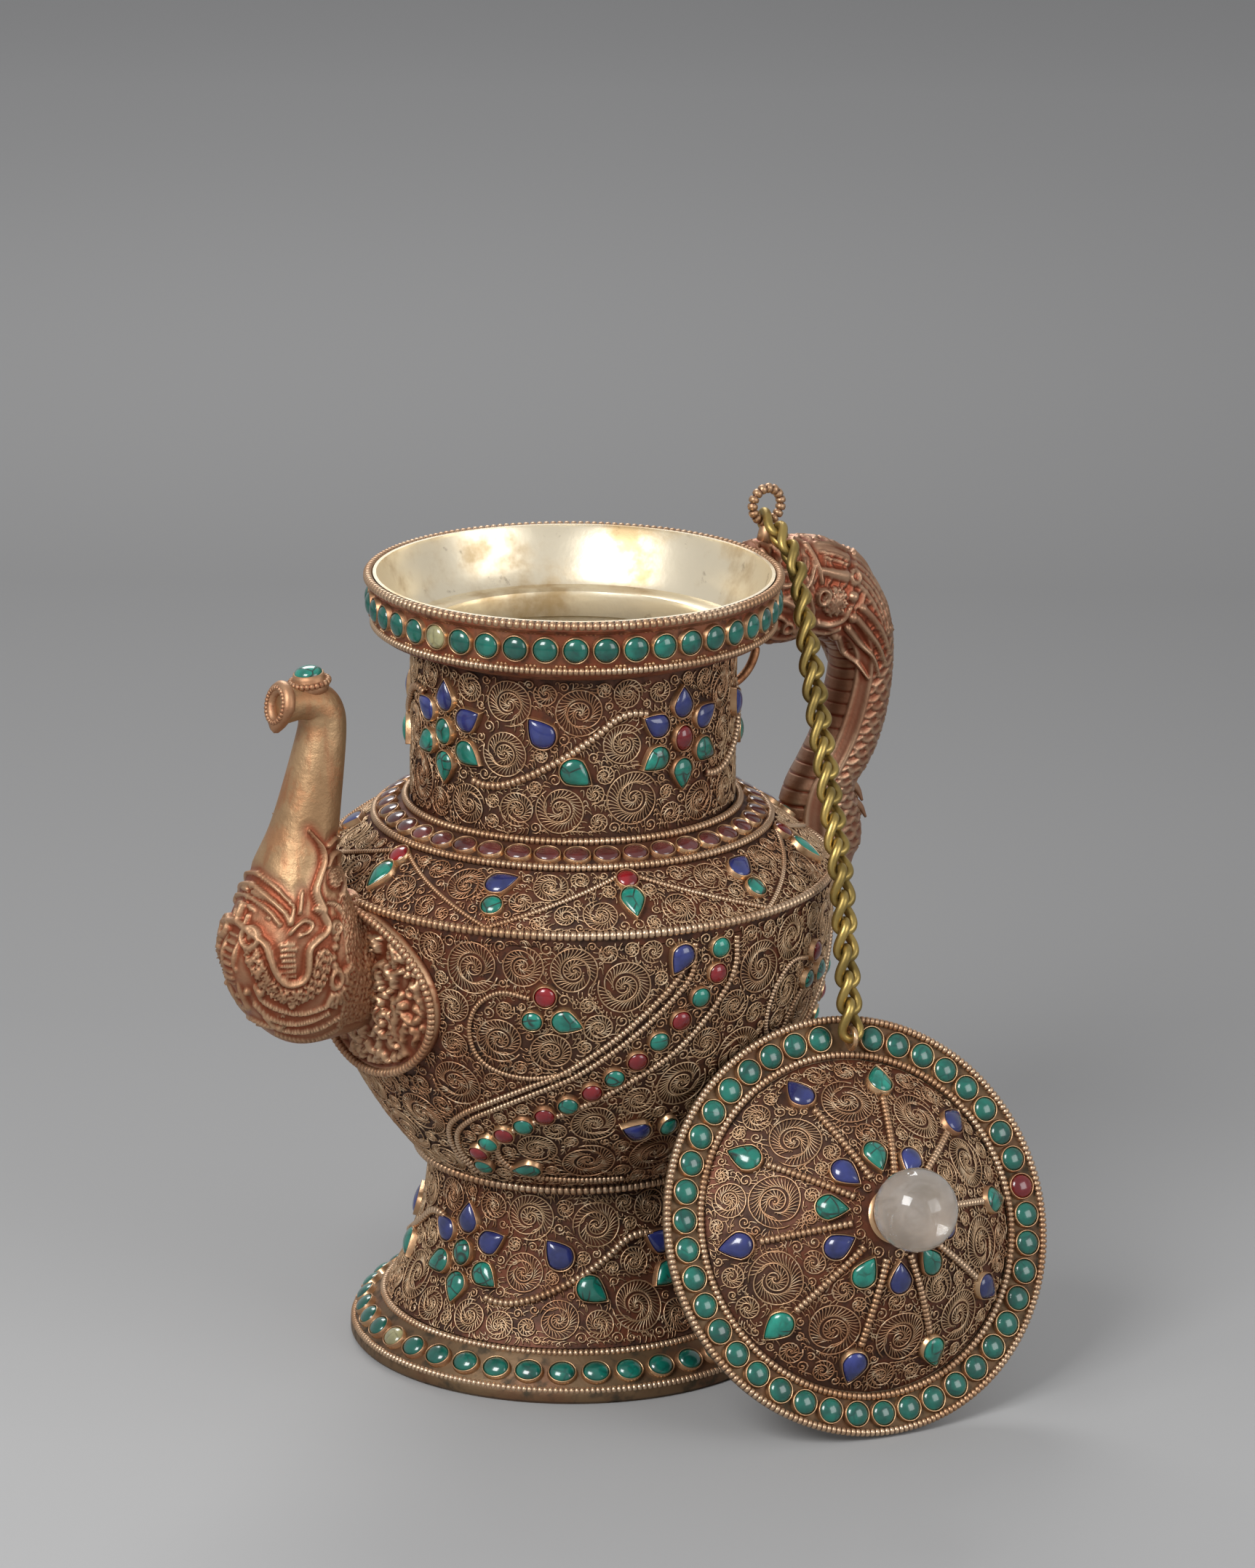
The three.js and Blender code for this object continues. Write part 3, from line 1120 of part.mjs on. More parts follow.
function buildLidDome(lid) {
  const outside = DOME_SHARES.map((share) => [LID_DOME_RADIUS * share, domeHeight(LID_DOME_RADIUS * share)]);
  const inside = DOME_SHARES.map((share) => {
    const radius = (LID_DOME_RADIUS - LID_DOME_SHEET) * share;
    return [radius, Math.max(LID_PLATE + SEAT_GAP, domeHeight(radius) - LID_DOME_SHEET)];
  });
  const sheet = revolve([
    [0, domeHeight(0)], ...outside, ...inside.reverse(), [0, domeHeight(0) - LID_DOME_SHEET],
  ]);
  const drop = ovalOutline(DROP_WIDTH, DROP_LENGTH);
  const drops = Array.from({ length: LID_DROPS }, (_, i) => (
    setting(onDome((i / LID_DROPS) * FULL_TURN, LID_DROP_RADIUS), turned(drop, Math.PI))
  ));
  addPiece('lid_dome', joined(sheet, ...drops, starSetting()), agedGilt, lid);
}

const DOME_SHARES = [0.36, 0.66, 0.88, 1];

// The star of petals that stands round the finial's cup
function starSetting() {
  const laid = (outline, lift) => outline.map(([x, y]) => (
    new THREE.Vector3(x, y, domeHeight(Math.hypot(x, y)) + lift)
  ));
  const star = (radius) => starOutline(LID_DROPS, radius, LID_STAR_WAIST_SHARE);
  const hole = starOutline(LID_DROPS, CUP_RADIUS + SHEET, 1);
  const depth = SHEET / 2;
  return skin([
    laid(star(LID_STAR_RADIUS), -depth), laid(star(LID_STAR_RADIUS * STONE_TOP_SHARE), STONE_RISE),
    laid(hole, STONE_RISE), laid(hole, -depth),
  ], { loop: true });
}

function ballHeight() {
  return domeHeight(0) + CUP_HEIGHT + BALL_RADIUS;
}

function buildFinial(lid) {
  const base = domeHeight(0) + SEAT_GAP;
  const seat = (radius) => ballHeight() - Math.sqrt((BALL_RADIUS + 2 * SEAT_GAP) ** 2 - radius ** 2);
  const waist = CUP_RADIUS * CUP_WAIST_SHARE;
  addPiece('finial_cup', revolve([
    [0, base], [waist, base], [CUP_RADIUS, base + CUP_HEIGHT / 3], [CUP_RADIUS, seat(waist)],
    [waist, seat(waist)], [waist / 2, seat(waist / 2)], [0, seat(0)],
  ], SPOUT_SIDES), castGilt, lid);
  const ball = new THREE.SphereGeometry(BALL_RADIUS, SPOUT_SIDES, BALL_RINGS)
    .rotateX(Math.PI / 2)
    .translate(0, 0, ballHeight());
  addPiece('crystal_ball', closedMesh(ball), rockCrystal, lid);
}

buildFoot();
buildPedestal();
buildBelly();
buildShoulder();
buildGarnetRing();
buildNeck();
buildCollar();
buildDish();
buildSpout();
buildHandle();
buildHandleRing();
buildStay();
buildChain();
buildLid();

export default ewer;
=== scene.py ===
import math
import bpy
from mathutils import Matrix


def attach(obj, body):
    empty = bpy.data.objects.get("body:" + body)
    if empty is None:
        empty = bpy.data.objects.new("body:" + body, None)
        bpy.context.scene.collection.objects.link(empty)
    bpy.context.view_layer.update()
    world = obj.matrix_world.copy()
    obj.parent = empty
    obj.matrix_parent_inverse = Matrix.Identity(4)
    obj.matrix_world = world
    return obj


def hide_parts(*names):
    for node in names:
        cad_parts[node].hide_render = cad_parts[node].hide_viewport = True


bl_info = {
    "name": "Tibetan Ewer Dresser",
    "version": (1, 0, 0),
    "blender": (4, 5, 0),
    "location": "View3D > Sidebar > Ewer",
    "description": "Dresses a plain ewer in gilt filigree, beaded wire, turquoise, lapis and garnet",
    "category": "Object",
}

import bpy
import numpy as np
from mathutils import Matrix, Vector

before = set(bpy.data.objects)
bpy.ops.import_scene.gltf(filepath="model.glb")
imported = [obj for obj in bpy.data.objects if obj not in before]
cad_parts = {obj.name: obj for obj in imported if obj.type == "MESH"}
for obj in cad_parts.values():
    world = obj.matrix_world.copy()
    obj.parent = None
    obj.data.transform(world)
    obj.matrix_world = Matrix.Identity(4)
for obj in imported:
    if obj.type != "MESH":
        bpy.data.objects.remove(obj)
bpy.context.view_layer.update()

# One of the script's own units, a millimetre, in metres
MM = 0.001
TAU = 2 * math.pi

# Turned outline of the ewer, in millimetres
FOOT_INNER_RADIUS = 55.4
FOOT_INNER_HEIGHT = 12.9
WAIST_RADIUS = 41.5
WAIST_HEIGHT = 57.0
BELLY_RADIUS = 76.0
BELLY_FULLNESS = 1.08
BELLY_POWER = 0.8
SHOULDER_HEIGHT = 143.5
SHOULDER_TOP = 159.1
SHOULDER_TOP_RADIUS = 58.3
NECK_RADIUS = 46.9
NECK_LOW = 166.0
NECK_TOP = 214.1
COLLAR_RADIUS = 58.2
SHEET = 1.5

# Angle round the ewer's axis of the side that faces the photograph's camera
FACING = math.radians(-123)

# Lid at its leaning place
LID_CENTRE = Vector((35.0008, -97.0059, 54.8432))
LID_HEADING = math.radians(-97.4)
LID_SLOPE = math.radians(24.6)
LID_DOME_RADIUS = 47.9
LID_DOME_RISE = 24.0
LID_DOME_POWER = 1.7
LID_PLATE = 2.0
BALL_RADIUS = 12.0
# Round stones of the lid's flange, with the eyelet in the place of one, and the red one among them
LID_STONES = 41
LID_RED_STONE = 32
LID_RIBS = 10

# Photograph's camera: place in metres, direction and lens
CAMERA_PLACE = Vector((-0.9712, -1.5249, 0.687))
CAMERA_HEADING = math.radians(57)
CAMERA_PITCH = math.radians(-16)
CAMERA_ROLL = math.radians(-0.546)
CAMERA_LENS = 184.7


# Sizes and colours that a user may change
def length(label, default, description):
    return bpy.props.FloatProperty(name=label, default=default, description=description, unit="LENGTH", precision=5)


def colour(label, default, description):
    return bpy.props.FloatVectorProperty(
        name=label, default=default, description=description, subtype="COLOR", size=3, min=0, max=1)


class EwerSizes(bpy.types.PropertyGroup):
    scroll_wire: length("Scroll wire", 0.0005, "Thickness of the filigree wire")
    tooth_pitch: length("Tooth pitch", 0.00132, "Distance between the teeth on a scroll's spiral")
    edge_bead: length("Edge bead", 0.0029, "Thickness of the beaded wire round the shoulder's edge")
    seam_bead: length("Seam bead", 0.0024, "Thickness of the beaded wires beside the stone bands")
    vine_bead: length("Vine bead", 0.0016, "Thickness of the beaded wires that wind over the filigree")
    bead_pitch: bpy.props.FloatProperty(
        name="Bead pitch", default=0.64, min=0.3, max=2, description="Distance between beads, over their thickness")
    round_stone: length("Round stone", 0.007, "Width of the round turquoises")


class EwerColours(bpy.types.PropertyGroup):
    gilding: colour("Gilding", (0.53, 0.355, 0.21), "Light side of the aged gilding")
    copper: colour("Copper", (0.3, 0.085, 0.035), "Bare copper that shows in the recesses")
    brass: colour("Brass", (0.47, 0.335, 0.105), "Chain wire")
    turquoise: colour("Turquoise", (0.008, 0.185, 0.135), "Polished turquoise")
    lapis: colour("Lapis", (0.022, 0.03, 0.14), "Polished lapis lazuli")
    garnet: colour("Garnet", (0.2, 0.006, 0.01), "Red cabochons")


# Shapes: points in millimetres and blocks of faces, gathered before they become a mesh
class Shape:
    def __init__(self, points, blocks, wear=None):
        self.points = np.asarray(points, float)
        self.blocks = [np.asarray(block, int) for block in blocks]
        self.wear = np.ones(len(self.points)) if wear is None else wear

    def moved(self, matrix):
        matrix = np.array(matrix)
        return Shape(self.points @ matrix[:3, :3].T + matrix[:3, 3], self.blocks, self.wear)

    def scaled(self, x, y=None, z=None):
        return Shape(self.points * (x, x if y is None else y, x if z is None else z), self.blocks, self.wear)

    def mirrored(self):
        return Shape(self.points * (-1, 1, 1), [block[:, ::-1] for block in self.blocks], self.wear)


class Gathered:
    def __init__(self):
        self.points, self.blocks, self.wear, self.count = [], [], [], 0

    def add(self, shape):
        self.points.append(shape.points)
        self.wear.append(shape.wear)
        self.blocks.extend(block + self.count for block in shape.blocks)
        self.count += len(shape.points)

    def shape(self):
        sides = sorted({block.shape[1] for block in self.blocks})
        blocks = [np.concatenate([b for b in self.blocks if b.shape[1] == n]) for n in sides]
        return Shape(np.concatenate(self.points), blocks, np.concatenate(self.wear))


def grid_faces(rows, columns, closed_rows=False, closed_columns=True):
    """Four-sided faces of a grid of points, row by row"""
    r = np.arange(rows if closed_rows else rows - 1)
    c = np.arange(columns if closed_columns else columns - 1)
    a = (r[:, None] * columns + c).ravel()
    b = (r[:, None] * columns + (c + 1) % columns).ravel()
    up = ((r[:, None] + 1) % rows * columns + (c + 1) % columns).ravel()
    d = ((r[:, None] + 1) % rows * columns + c).ravel()
    return np.stack([a, b, up, d], 1)


def tube(path, radius, sides=6, loop=False, up=None):
    """A wire along a path, with one radius or one for each point, closed at its ends or in a ring"""
    path = np.asarray(path, float)
    count = len(path)
    radius = np.broadcast_to(np.asarray(radius, float), (count,))
    along = np.roll(path, -1, 0) - np.roll(path, 1, 0)
    if not loop:
        along[0], along[-1] = path[1] - path[0], path[-1] - path[-2]
    along /= np.linalg.norm(along, axis=1)[:, None] + 1e-12
    if up is None:
        side = carried_sides(along, loop)
    else:
        side = np.cross(along, np.broadcast_to(up, along.shape))
        side /= np.linalg.norm(side, axis=1)[:, None] + 1e-12
    rise = np.cross(side, along)
    turns = np.arange(sides) * TAU / sides + math.pi / 2
    ring = side[:, None] * np.cos(turns)[None, :, None] + rise[:, None] * np.sin(turns)[None, :, None]
    points = (path[:, None] + ring * radius[:, None, None]).reshape(-1, 3)
    blocks = [grid_faces(count, sides, closed_rows=loop)[:, ::-1]]
    if not loop:
        blocks += [np.arange(sides)[None], (np.arange(sides)[::-1] + (count - 1) * sides)[None]]
    return Shape(points, blocks)


def carried_sides(along, loop):
    """Side directions carried along a path without twist, with the last twist of a ring shared out"""
    first = np.cross(along[0], (0.31, 0.17, 0.94))
    side = first / np.linalg.norm(first)
    sides = []
    for direction in along:
        side = side - direction * side.dot(direction)
        side /= np.linalg.norm(side)
        sides.append(side)
    sides = np.array(sides)
    if loop:
        end = sides[-1] - along[0] * sides[-1].dot(along[0])
        twist = math.atan2(np.cross(end, sides[0]).dot(along[0]), end.dot(sides[0]))
        turns = twist * np.arange(len(sides)) / len(sides)
        rise = np.cross(along, sides)
        sides = sides * np.cos(turns)[:, None] + rise * np.sin(turns)[:, None]
    return sides


def circle(count, radius, height=0.0, other=None):
    """Points of a level circle, or of an oval whose second radius is given"""
    turns = np.arange(count) * TAU / count
    other = radius if other is None else other
    return np.stack([radius * np.cos(turns), other * np.sin(turns), np.full(count, height)], 1)


def resampled(path, step, loop=False):
    """Evenly spaced points on a smooth curve through a few points"""
    path = np.asarray(path, float)
    if loop:
        path = np.vstack([path, path[:1]])
    fine = smooth_curve(path, loop)
    lengths = np.concatenate([[0], np.cumsum(np.linalg.norm(np.diff(fine, axis=0), axis=1))])
    count = max(3, int(round(lengths[-1] / step)))
    places = np.linspace(0, lengths[-1], count + 1)[: count if loop else count + 1]
    return np.stack([np.interp(places, lengths, fine[:, k]) for k in range(fine.shape[1])], 1)


def smooth_curve(path, loop=False, steps=12):
    if len(path) < 3:
        return path
    before = path[-2] if loop else 2 * path[0] - path[1]
    after = path[1] if loop else 2 * path[-1] - path[-2]
    knots = np.vstack([before, path, after])
    t = np.linspace(0, 1, steps, endpoint=False)[:, None]
    spans = []
    for a, b, c, d in zip(knots, knots[1:], knots[2:], knots[3:]):
        square = 2 * b + (c - a) * t + (2 * a - 5 * b + 4 * c - d) * t**2
        spans.append(0.5 * (square + (3 * b - a - 3 * c + d) * t**3))
    return np.vstack(spans + [path[-1:]])


# Along one bead: its places as shares of its length, and how far its wire swells there
BEAD_PLACES = np.array([0.0, 0.17, 0.5, 0.83])
BEAD_SWELL = np.array([0.46, 0.9, 1.0, 0.9])


def beaded(path, thickness, pitch, loop=False, up=None, sides=8):
    """Beaded wire: a tube that is pinched between each bead and the next"""
    path = np.asarray(path, float)
    if loop:
        path = np.vstack([path, path[:1]])
    lengths = np.concatenate([[0], np.cumsum(np.linalg.norm(np.diff(path, axis=0), axis=1))])
    count = max(3, int(round(lengths[-1] / pitch)))
    stations = ((np.arange(count)[:, None] + BEAD_PLACES) / count * lengths[-1]).ravel()
    swell = np.tile(BEAD_SWELL, count)
    if not loop:
        stations, swell = np.append(stations, lengths[-1]), np.append(swell, BEAD_SWELL[0])
    places = np.stack([np.interp(stations, lengths, path[:, k]) for k in range(3)], 1)
    wire = tube(places, thickness / 2 * swell, sides, loop, up)
    # 0 in the pinches between the beads and 1 on their tops: the bead finish paints shade in the pinches
    wire.wear = np.repeat((swell - BEAD_SWELL[0]) / (1 - BEAD_SWELL[0]), sides)
    return wire


class Turned:
    """A surface turned round an axis, on which flat patterns are laid: x round it, y up its outline, z outwards"""

    def __init__(self, outline, matrix=None):
        outline = np.asarray(outline, float)
        steps = np.linalg.norm(np.diff(outline, axis=0), axis=1)
        self.runs = np.concatenate([[0], np.cumsum(steps)])
        self.outline = outline
        slope = np.gradient(outline, self.runs, axis=0)
        self.normals = np.stack([slope[:, 1], -slope[:, 0]], 1)
        self.length = self.runs[-1]
        self.matrix = None if matrix is None else np.array(matrix)

    def radius(self, run):
        return np.interp(run, self.runs, self.outline[:, 0])

    def run_at(self, height):
        return float(np.interp(height, self.outline[:, 1], self.runs))

    def at(self, turn, run, lift=0.0):
        turn, run, lift = np.broadcast_arrays(*(np.asarray(v, float) for v in (turn, run, lift)))
        radius = self.radius(run) + lift * np.interp(run, self.runs, self.normals[:, 0])
        height = np.interp(run, self.runs, self.outline[:, 1]) + lift * np.interp(run, self.runs, self.normals[:, 1])
        points = np.stack([radius * np.cos(turn), radius * np.sin(turn), height], -1)
        if self.matrix is not None:
            points = points @ self.matrix[:3, :3].T + self.matrix[:3, 3]
        return points

    def normal(self, turn, run):
        n = self.at(turn, run, 1.0) - self.at(turn, run)
        return n / np.linalg.norm(n, axis=-1, keepdims=True)

    def lay(self, shape, turn, run, spin=0.0, scale=1.0):
        """Bends a flat shape onto the surface"""
        points = shape.points * scale
        x = points[:, 0] * math.cos(spin) - points[:, 1] * math.sin(spin)
        y = points[:, 0] * math.sin(spin) + points[:, 1] * math.cos(spin)
        run_here = np.clip(run + y, 0, self.length)
        turn_here = turn + x / np.maximum(self.radius(run_here), 1.0)
        return Shape(self.at(turn_here, run_here, points[:, 2]), shape.blocks, shape.wear)

    def stand(self, shape, turn, run, spin=0.0, lift=0.0):
        """Stands a stiff shape on the surface"""
        place, out = self.at(turn, run, lift), self.normal(turn, run)
        across = self.at(turn + 0.001, run) - self.at(turn - 0.001, run)
        across /= np.linalg.norm(across)
        upward = np.cross(out, across)
        x = across * math.cos(spin) + upward * math.sin(spin)
        y = np.cross(out, x)
        matrix = np.identity(4)
        matrix[:3, 0], matrix[:3, 1], matrix[:3, 2], matrix[:3, 3] = x, y, out, place
        return shape.moved(matrix)


# Outlines of the ewer and the lid's dome
def belly_radius(height):
    share = np.clip((height - WAIST_HEIGHT) / (SHOULDER_HEIGHT - WAIST_HEIGHT), 0, 1)
    turn = np.minimum(1, BELLY_FULLNESS * share**BELLY_POWER) * math.pi / 2
    return WAIST_RADIUS + (BELLY_RADIUS - WAIST_RADIUS) * np.sin(turn)


def pedestal_radius(height):
    share = (height - FOOT_INNER_HEIGHT) / (WAIST_HEIGHT - FOOT_INNER_HEIGHT)
    return WAIST_RADIUS + (FOOT_INNER_RADIUS - 1 - WAIST_RADIUS) * (1 - share) ** 2


def shoulder_outline():
    rise = np.linspace(0, 1, 9)
    radius = BELLY_RADIUS + (SHOULDER_TOP_RADIUS - BELLY_RADIUS) * rise + 1.2 * np.sin(math.pi * rise)
    return np.stack([radius, SHOULDER_HEIGHT + 1.8 + (SHOULDER_TOP - SHOULDER_HEIGHT - 1.8) * rise], 1)


def dome_height(radius):
    return LID_PLATE + 0.3 + LID_DOME_RISE * (1 - (radius / LID_DOME_RADIUS) ** LID_DOME_POWER)


def direction_of(heading, slope):
    """Unit vector from its angle round the Z axis and its angle above the level"""
    return Vector((math.cos(heading) * math.cos(slope), math.sin(heading) * math.cos(slope), math.sin(slope)))


def lid_matrix():
    normal = direction_of(LID_HEADING, LID_SLOPE)
    across = Vector((0, 0, 1)).cross(normal).normalized()
    upward = normal.cross(across)
    matrix = Matrix((across, upward, normal)).transposed().to_4x4()
    matrix.translation = LID_CENTRE
    return matrix


def surfaces():
    belly = np.linspace(60.4, 144.6, 42)
    pedestal = np.linspace(13.2, 56.7, 24)
    dome = np.linspace(LID_DOME_RADIUS, 6.0, 30)
    return {
        "neck": Turned([(NECK_RADIUS, NECK_LOW), (NECK_RADIUS, 190.0), (NECK_RADIUS, NECK_TOP - 1)]),
        "belly": Turned(np.stack([belly_radius(belly), belly], 1)),
        "shoulder": Turned(shoulder_outline()),
        "pedestal": Turned(np.stack([pedestal_radius(pedestal), pedestal], 1)),
        "dome": Turned(np.stack([dome, dome_height(dome)], 1), lid_matrix()),
    }


SURFACE = surfaces()


# Making objects
def select_only(obj):
    clear_selection()
    obj.select_set(True)
    bpy.context.view_layer.objects.active = obj


def clear_selection():
    if bpy.context.object and bpy.context.object.mode != "OBJECT":
        bpy.ops.object.mode_set(mode="OBJECT")
    bpy.ops.object.select_all(action="DESELECT")


def piece(name, shape, finish):
    """A mesh object of a gathered shape, in metres, wearing one finish"""
    mesh = bpy.data.meshes.new(name)
    sizes = np.concatenate([np.full(len(block), block.shape[1]) for block in shape.blocks])
    corners = np.concatenate([block.ravel() for block in shape.blocks])
    mesh.vertices.add(len(shape.points))
    mesh.vertices.foreach_set("co", (shape.points * MM).ravel())
    mesh.loops.add(len(corners))
    mesh.loops.foreach_set("vertex_index", corners)
    mesh.polygons.add(len(sizes))
    mesh.polygons.foreach_set("loop_start", np.concatenate([[0], np.cumsum(sizes)[:-1]]))
    mesh.polygons.foreach_set("use_smooth", np.ones(len(sizes), bool))
    if shape.wear.min() < 1:
        mesh.attributes.new("wear", "FLOAT", "POINT").data.foreach_set("value", shape.wear)
    mesh.materials.append(finish)
    mesh.update(calc_edges=True)
    obj = bpy.data.objects.new(name, mesh)
    bpy.context.scene.collection.objects.link(obj)
    return obj


def taken(obj):
    """The shape of a modelled object, which is then removed"""
    mesh = obj.data
    points = np.zeros(len(mesh.vertices) * 3)
    mesh.vertices.foreach_get("co", points)
    faces = [tuple(p.vertices) for p in mesh.polygons]
    blocks = [np.array([f for f in faces if len(f) == n]) for n in sorted({len(f) for f in faces})]
    bpy.data.objects.remove(obj)
    return Shape(points.reshape(-1, 3) / MM, blocks)


def select_where(test):
    """Selects the edit mesh's faces whose centre and normal pass a test"""
    bpy.ops.object.mode_set(mode="OBJECT")
    mesh = bpy.context.object.data
    for part in (mesh.vertices, mesh.edges, mesh.polygons):
        part.foreach_set("select", [False] * len(part))
    for face in mesh.polygons:
        face.select = test(face.center / MM, face.normal)
    bpy.ops.object.mode_set(mode="EDIT")


def spun(outline, steps=144, closed=False):
    """A turned form: one point drawn out along an outline in edit mode, and spun round the Z axis"""
    clear_selection()
    bpy.ops.mesh.primitive_plane_add(size=MM)
    obj = bpy.context.object
    bpy.ops.object.mode_set(mode="EDIT")
    bpy.ops.mesh.select_all(action="SELECT")
    bpy.ops.mesh.merge(type="CENTER")
    points = [Vector((radius, 0, height)) * MM for radius, height in outline]
    bpy.ops.transform.translate(value=points[0])
    ends = points[1:] + (points[:1] if closed else [])
    for start, end in zip(points, ends):
        bpy.ops.mesh.extrude_region_move(TRANSFORM_OT_translate={"value": end - start})
    bpy.ops.mesh.select_all(action="SELECT")
    bpy.ops.mesh.spin(steps=steps, angle=TAU, center=(0, 0, 0), axis=(0, 0, 1))
    bpy.ops.mesh.select_all(action="SELECT")
    bpy.ops.mesh.remove_doubles(threshold=MM / 50)
    bpy.ops.mesh.normals_make_consistent(inside=False)
    bpy.ops.object.mode_set(mode="OBJECT")
    return obj


def dressed(obj, name, finish, body, slot, replaces=(), angle=40):
    """Names a modelled object, gives it its finish and lets it ride with its body"""
    obj.name = name
    obj.data.name = name
    obj.data.materials.clear()
    obj.data.materials.append(finish)
    select_only(obj)
    bpy.ops.object.shade_smooth_by_angle(angle=math.radians(angle))
    bpy.ops.object.select_all(action="DESELECT")
    return ridden(obj, body, slot, replaces)


def ridden(obj, body, slot, replaces=()):
    """Lets a piece ride with its body, in place of the solids it replaces; the slot it is given is not used"""
    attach(obj, body)
    if replaces:
        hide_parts(*replaces)
    return obj


def cast(name, shape, finish, node):
    """A sculpted piece of the ewer in place of one solid"""
    return ridden(piece(name, shape, FINISH[finish]), "ewer", "cast_gilt", [node])


# Shader maths: a wrapped socket takes Python's operators
class Value:
    """A node's output"""

    def __init__(self, tree, socket):
        self.tree, self.socket = tree, socket

    def math(self, operation, other, swap=False):
        pair = (other, self) if swap else (self, other)
        return self.tree.node("ShaderNodeMath", {"operation": operation}, dict(enumerate(pair)))

    def __add__(self, other):
        return self.math("ADD", other)

    __radd__ = __add__

    def __mul__(self, other):
        return self.math("MULTIPLY", other)

    __rmul__ = __mul__

    def __sub__(self, other):
        return self.math("SUBTRACT", other)

    def __rsub__(self, other):
        return self.math("SUBTRACT", other, swap=True)

    def between(self, low, high):
        """0 below low, 1 above high, and a smooth rise between them"""
        settings = {"interpolation_type": "SMOOTHSTEP"}
        return self.tree.node("ShaderNodeMapRange", settings, {"Value": self, "From Min": low, "From Max": high})


class Tree:
    def __init__(self, name):
        self.material = bpy.data.materials.new(name)
        self.material.use_nodes = True
        self.nodes = self.material.node_tree.nodes
        self.links = self.material.node_tree.links
        self.shader = self.nodes["Principled BSDF"]
        self.place = self.node("ShaderNodeTexCoord", {}, {}, "Object")

    def node(self, kind, settings=None, inputs=None, output=0):
        """Any node: its settings first, then the values or links of its sockets"""
        node = self.nodes.new(kind)
        for name, value in (settings or {}).items():
            if name == "stops":
                self.set_stops(node, value)
            else:
                setattr(node, name, value)
        for key, value in (inputs or {}).items():
            self.feed(node.inputs[key], value)
        return Value(self, node.outputs[output])

    def set_stops(self, node, stops):
        ramp = node.color_ramp
        while len(ramp.elements) < len(stops):
            ramp.elements.new(0.5)
        for element, (position, shade) in zip(ramp.elements, stops):
            element.position = position
            element.color = (*shade, 1)

    def feed(self, socket, value):
        if isinstance(value, Value):
            self.links.new(value.socket, socket)
        elif socket.type == "RGBA":
            socket.default_value = (*value[:3], 1)
        else:
            socket.default_value = value

    def noise(self, scale, detail=4.0, roughness=0.55, stretch=None, distortion=0.0):
        place = self.place
        if stretch:
            place = self.node("ShaderNodeMapping", {}, {"Vector": place, "Scale": stretch})
        return self.node("ShaderNodeTexNoise", {}, {
            "Vector": place, "Scale": scale, "Detail": detail, "Roughness": roughness, "Distortion": distortion})

    def wear(self):
        """0 in a piece's crevices and 1 on its heights"""
        return self.node("ShaderNodeAttribute", {"attribute_name": "wear"}, {}, output=2)

    def mix(self, share, first, second):
        return self.node("ShaderNodeMix", {"data_type": "RGBA"}, {0: share, 6: first, 7: second}, output=2)

    def ramp(self, value, stops):
        return self.node("ShaderNodeValToRGB", {"stops": stops}, {0: value})

    def bump(self, height, distance, strength=1.0):
        inputs = {"Height": height, "Distance": distance, "Strength": strength}
        self.set(Normal=self.node("ShaderNodeBump", {}, inputs))

    def set(self, **values):
        for name, value in values.items():
            self.feed(self.shader.inputs[name.replace("_", " ")], value)
        return self.material


def shade(rgb, factor):
    return tuple(min(1, c * factor) for c in rgb)


def gilt_wire(colours):
    """Filigree wire: aged gilding with worn copper-coloured patches, and fine specks of pale gold painted on as
    highlights
    """
    tree = Tree("gilt_wire")
    patches = tree.noise(26, 3).between(0.38, 0.66)
    fine = tree.noise(420, 2)
    base = tree.mix(patches, colours.gilding, (0.43, 0.225, 0.12))
    # Fine specks of pale gold: painted highlights on the wire
    base = tree.mix(fine.between(0.5, 0.72), base, (0.68, 0.52, 0.35))
    tree.bump(tree.noise(1500, 2), 0.00012, 0.5)
    return tree.set(Base_Color=base, Metallic=0.85, Roughness=fine.between(0.2, 0.9) * 0.2 + 0.36)
